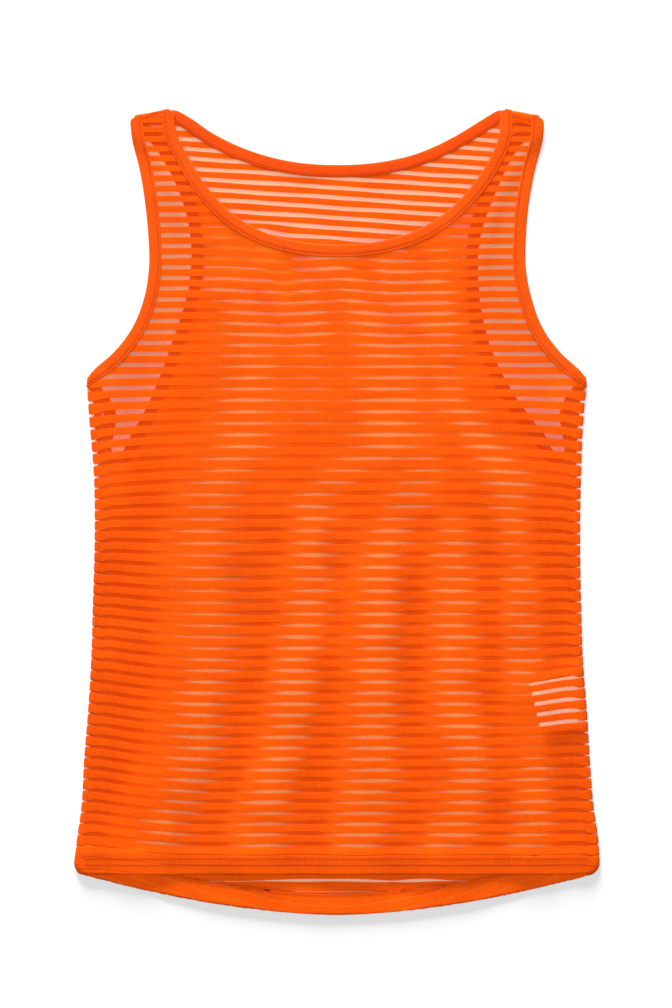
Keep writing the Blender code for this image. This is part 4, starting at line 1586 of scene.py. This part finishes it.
class TANK_TOP_OT_seam_allowances(bpy.types.Operator):
    """Builds the overlocked allowances inside the side seams and the shoulder seams"""

    bl_idname = "tank_top.seam_allowances"
    bl_label = "Seam Allowances"

    def execute(self, context):
        for side, word in SIDES:
            height = np.arange(*SIDE_ALLOWANCE_SPAN)
            reach = side_reach(height, side)
            allowance_piece(f"side_allowance_{word}", side_allowance_z, *(
                flat_points(side * (reach - gap), height) for gap in SIDE_ALLOWANCE))
            start = SHOULDER_NECK[0] + SHOULDER_ALLOWANCE_ENDS[0]
            end = SHOULDER_OUTER[0] + SHOULDER_ALLOWANCE_ENDS[1]
            across = side * np.linspace(start, end, SHOULDER_ALLOWANCE_POINTS)
            seam = shoulder_height(across) - SHOULDER_SEAM_DROP[side]
            allowance_piece(f"shoulder_allowance_{word}", shoulder_allowance_z, *(
                flat_points(across, seam + rise) for rise in SHOULDER_ALLOWANCE))
        return {"FINISHED"}


def side_allowance_z(points):
    across, height = points.T
    share = smoothstep(0.0, 5.0, side_gap(across, height) - SIDE_ALLOWANCE[0])
    return back_middle(across, height) + 0.48 + 0.12 * share


def shoulder_allowance_z(points):
    return np.full(len(points), PANEL_WALL + SEAM_GAP + 0.05)


def allowance_piece(name, z_at, outer, inner):
    """A narrow strip of cloth with looped thread over its inner edge."""
    shares = np.linspace(0.0, 1.0, ALLOWANCE_COLUMNS)
    flat = (outer[:, None] + shares[:, None] * (inner - outer)[:, None]).reshape(-1, 2)
    made = make_piece(
        name, placed(*flat.T, z_at(flat)), lattice_faces(len(outer), ALLOWANCE_COLUMNS).tolist(),
        [shared_finish("binding_knit_inside_shaded")], placed_grain(*flat.T), walls=np.ones(len(flat)))
    ride_and_state(thicken(made, ALLOWANCE_WALL * MM), "self_binding")
    run = run_along(inner)
    along = np.arange(OVERLOCK_END, run[-1] - OVERLOCK_END, OVERLOCK_STEP)
    edge, back = (
        np.stack([np.interp(along, run, column) for column in line.T], axis=1)
        for line in (inner, outer))
    swing = np.where(np.arange(len(along)) % 2 == 0, *OVERLOCK_SWING)
    loops = edge + swing[:, None] * unit(back - edge)
    path = placed(*loops.T, z_at(loops) + ALLOWANCE_WALL / 2 + OVERLOCK_LIFT)
    made = thread_piece(
        f"{name}_overlock", [path], OVERLOCK_RADIUS, shared_finish("sewing_thread"))
    ride_and_state(made, "self_binding")


ALLOWANCES = [
    f"{seam}_allowance_{word}{part}"
    for seam in ("side", "shoulder") for _, word in SIDES for part in ("", "_overlock")]
# In metres and square metres
CLOTH_CUT = {
    # piece: (flat size), area, what it lies on, what is sewn on it
    "back_jersey": ((0.444, 0.703), 0.236, "floor", (
        "back_hem_cover", "back_hem_stitches", *ALLOWANCES)),
    "front_jersey": ((0.444, 0.668), 0.236, "back_jersey", (
        "neck_band", "neck_stitches",
        "armhole_band_left", "armhole_stitches_left",
        "armhole_band_right", "armhole_stitches_right",
        "front_hem_cover", "front_hem_stitches",
    )),
    "blank_care_label": ((0.046, 0.042), 0.00175, "back_jersey", ()),
}


class TANK_TOP_OT_cut(bpy.types.Operator):
    """Looks up the pieces sewn on each sheet of cloth, and fails if one of them is missing"""

    bl_idname = "tank_top.cut"
    bl_label = "Cut"

    def execute(self, context):
        for name, (flat, area, rests_on, sewn_on) in CLOTH_CUT.items():
            [bpy.data.objects[piece] for piece in sewn_on]
        return {"FINISHED"}


FLOOR_SIZE = 24.0
VIEW_CENTRE = (-0.0008, 0.0058)
SENSOR = 36.0
CAMERA_REACH = 50.0
# Places of the lights, and the sizes of their faces
KEY_LIGHT = ((-1.3, 8.0, 1.2), (3.2, 2.3))
TOP_LIGHT = ((-0.1, 0.1, 3.4), (0.7, 0.7))


class TANK_TOP_OT_stage(bpy.types.Operator):
    """Sets up the plain floor, the soft lights and the camera overhead"""

    bl_idname = "tank_top.stage"
    bl_label = "Stage"

    def execute(self, context):
        settings = context.scene.tank_top_stage
        build_floor(settings)
        area_light("key_light", *KEY_LIGHT, settings.key_power)
        area_light("top_light", *TOP_LIGHT, settings.top_power)
        build_sky(settings)
        build_camera(settings)
        context.scene.view_settings.view_transform = "Standard"
        return {"FINISHED"}


def build_floor(settings):
    half = FLOOR_SIZE / 2
    corners = [(-half, -half, 0.0), (half, -half, 0.0), (half, half, 0.0), (-half, half, 0.0)]
    data = bpy.data.meshes.new("floor")
    data.from_pydata(corners, [], [(0, 1, 2, 3)])
    data.materials.append(floor_finish("pale_floor", settings.floor_colour[:]))
    link("floor", data)


def area_light(name, place, size, power):
    light = bpy.data.lights.new(name, "AREA")
    light.shape = "RECTANGLE"
    light.size, light.size_y = size
    light.energy = power
    lamp = link(name, light)
    lamp.location = place
    lamp.rotation_euler = (-Vector(place)).to_track_quat("-Z", "Y").to_euler()


def build_sky(settings):
    world = bpy.data.worlds.new("studio_sky")
    world.use_nodes = True
    sky = world.node_tree.nodes["Background"]
    sky.inputs["Color"].default_value = (1.0, 1.0, 1.0, 1.0)
    sky.inputs["Strength"].default_value = settings.sky
    bpy.context.scene.world = world


def build_camera(settings):
    data = bpy.data.cameras.new("camera")
    data.sensor_fit = "VERTICAL"
    data.sensor_height = SENSOR
    data.lens = SENSOR * settings.camera_height / settings.view_length
    data.clip_end = CAMERA_REACH
    camera = link("camera", data)
    camera.location = (*VIEW_CENTRE, settings.camera_height)
    bpy.context.scene.camera = camera


# --- sidebar and registration ----------------------------------------------------------------

SETTINGS = (
    ("tank_top_cloth", TankTopCloth),
    ("tank_top_binding", TankTopBinding),
    ("tank_top_sewing", TankTopSewing),
    ("tank_top_stage", TankTopStage),
)
STEPS = (
    TANK_TOP_OT_back_panel,
    TANK_TOP_OT_care_label,
    TANK_TOP_OT_front_panel,
    TANK_TOP_OT_seam_allowances,
    TANK_TOP_OT_bindings,
    TANK_TOP_OT_sewing,
    TANK_TOP_OT_cut,
    TANK_TOP_OT_stage,
)


class TANK_TOP_PT_sidebar(bpy.types.Panel):
    bl_idname = "TANK_TOP_PT_sidebar"
    bl_label = "Tank Top"
    bl_space_type = "VIEW_3D"
    bl_region_type = "UI"
    bl_category = "Tank Top"

    def draw(self, context):
        for name, group in SETTINGS:
            box = self.layout.box()
            for key in group.__annotations__:
                box.prop(getattr(context.scene, name), key)
        for step in STEPS:
            self.layout.operator(step.bl_idname)


def register():
    for _, group in SETTINGS:
        bpy.utils.register_class(group)
    for step in (*STEPS, TANK_TOP_PT_sidebar):
        bpy.utils.register_class(step)
    for name, group in SETTINGS:
        setattr(bpy.types.Scene, name, PointerProperty(type=group))


def unregister():
    for name, _ in SETTINGS:
        delattr(bpy.types.Scene, name)
    for step in (TANK_TOP_PT_sidebar, *reversed(STEPS)):
        bpy.utils.unregister_class(step)
    for _, group in reversed(SETTINGS):
        bpy.utils.unregister_class(group)


def main():
    register()
    bpy.ops.tank_top.back_panel()
    bpy.ops.tank_top.care_label()
    bpy.ops.tank_top.front_panel()
    bpy.ops.tank_top.seam_allowances()
    bpy.ops.tank_top.bindings()
    bpy.ops.tank_top.sewing()
    bpy.ops.tank_top.cut()
    bpy.ops.tank_top.stage()


if __name__ == "__main__":
    main()
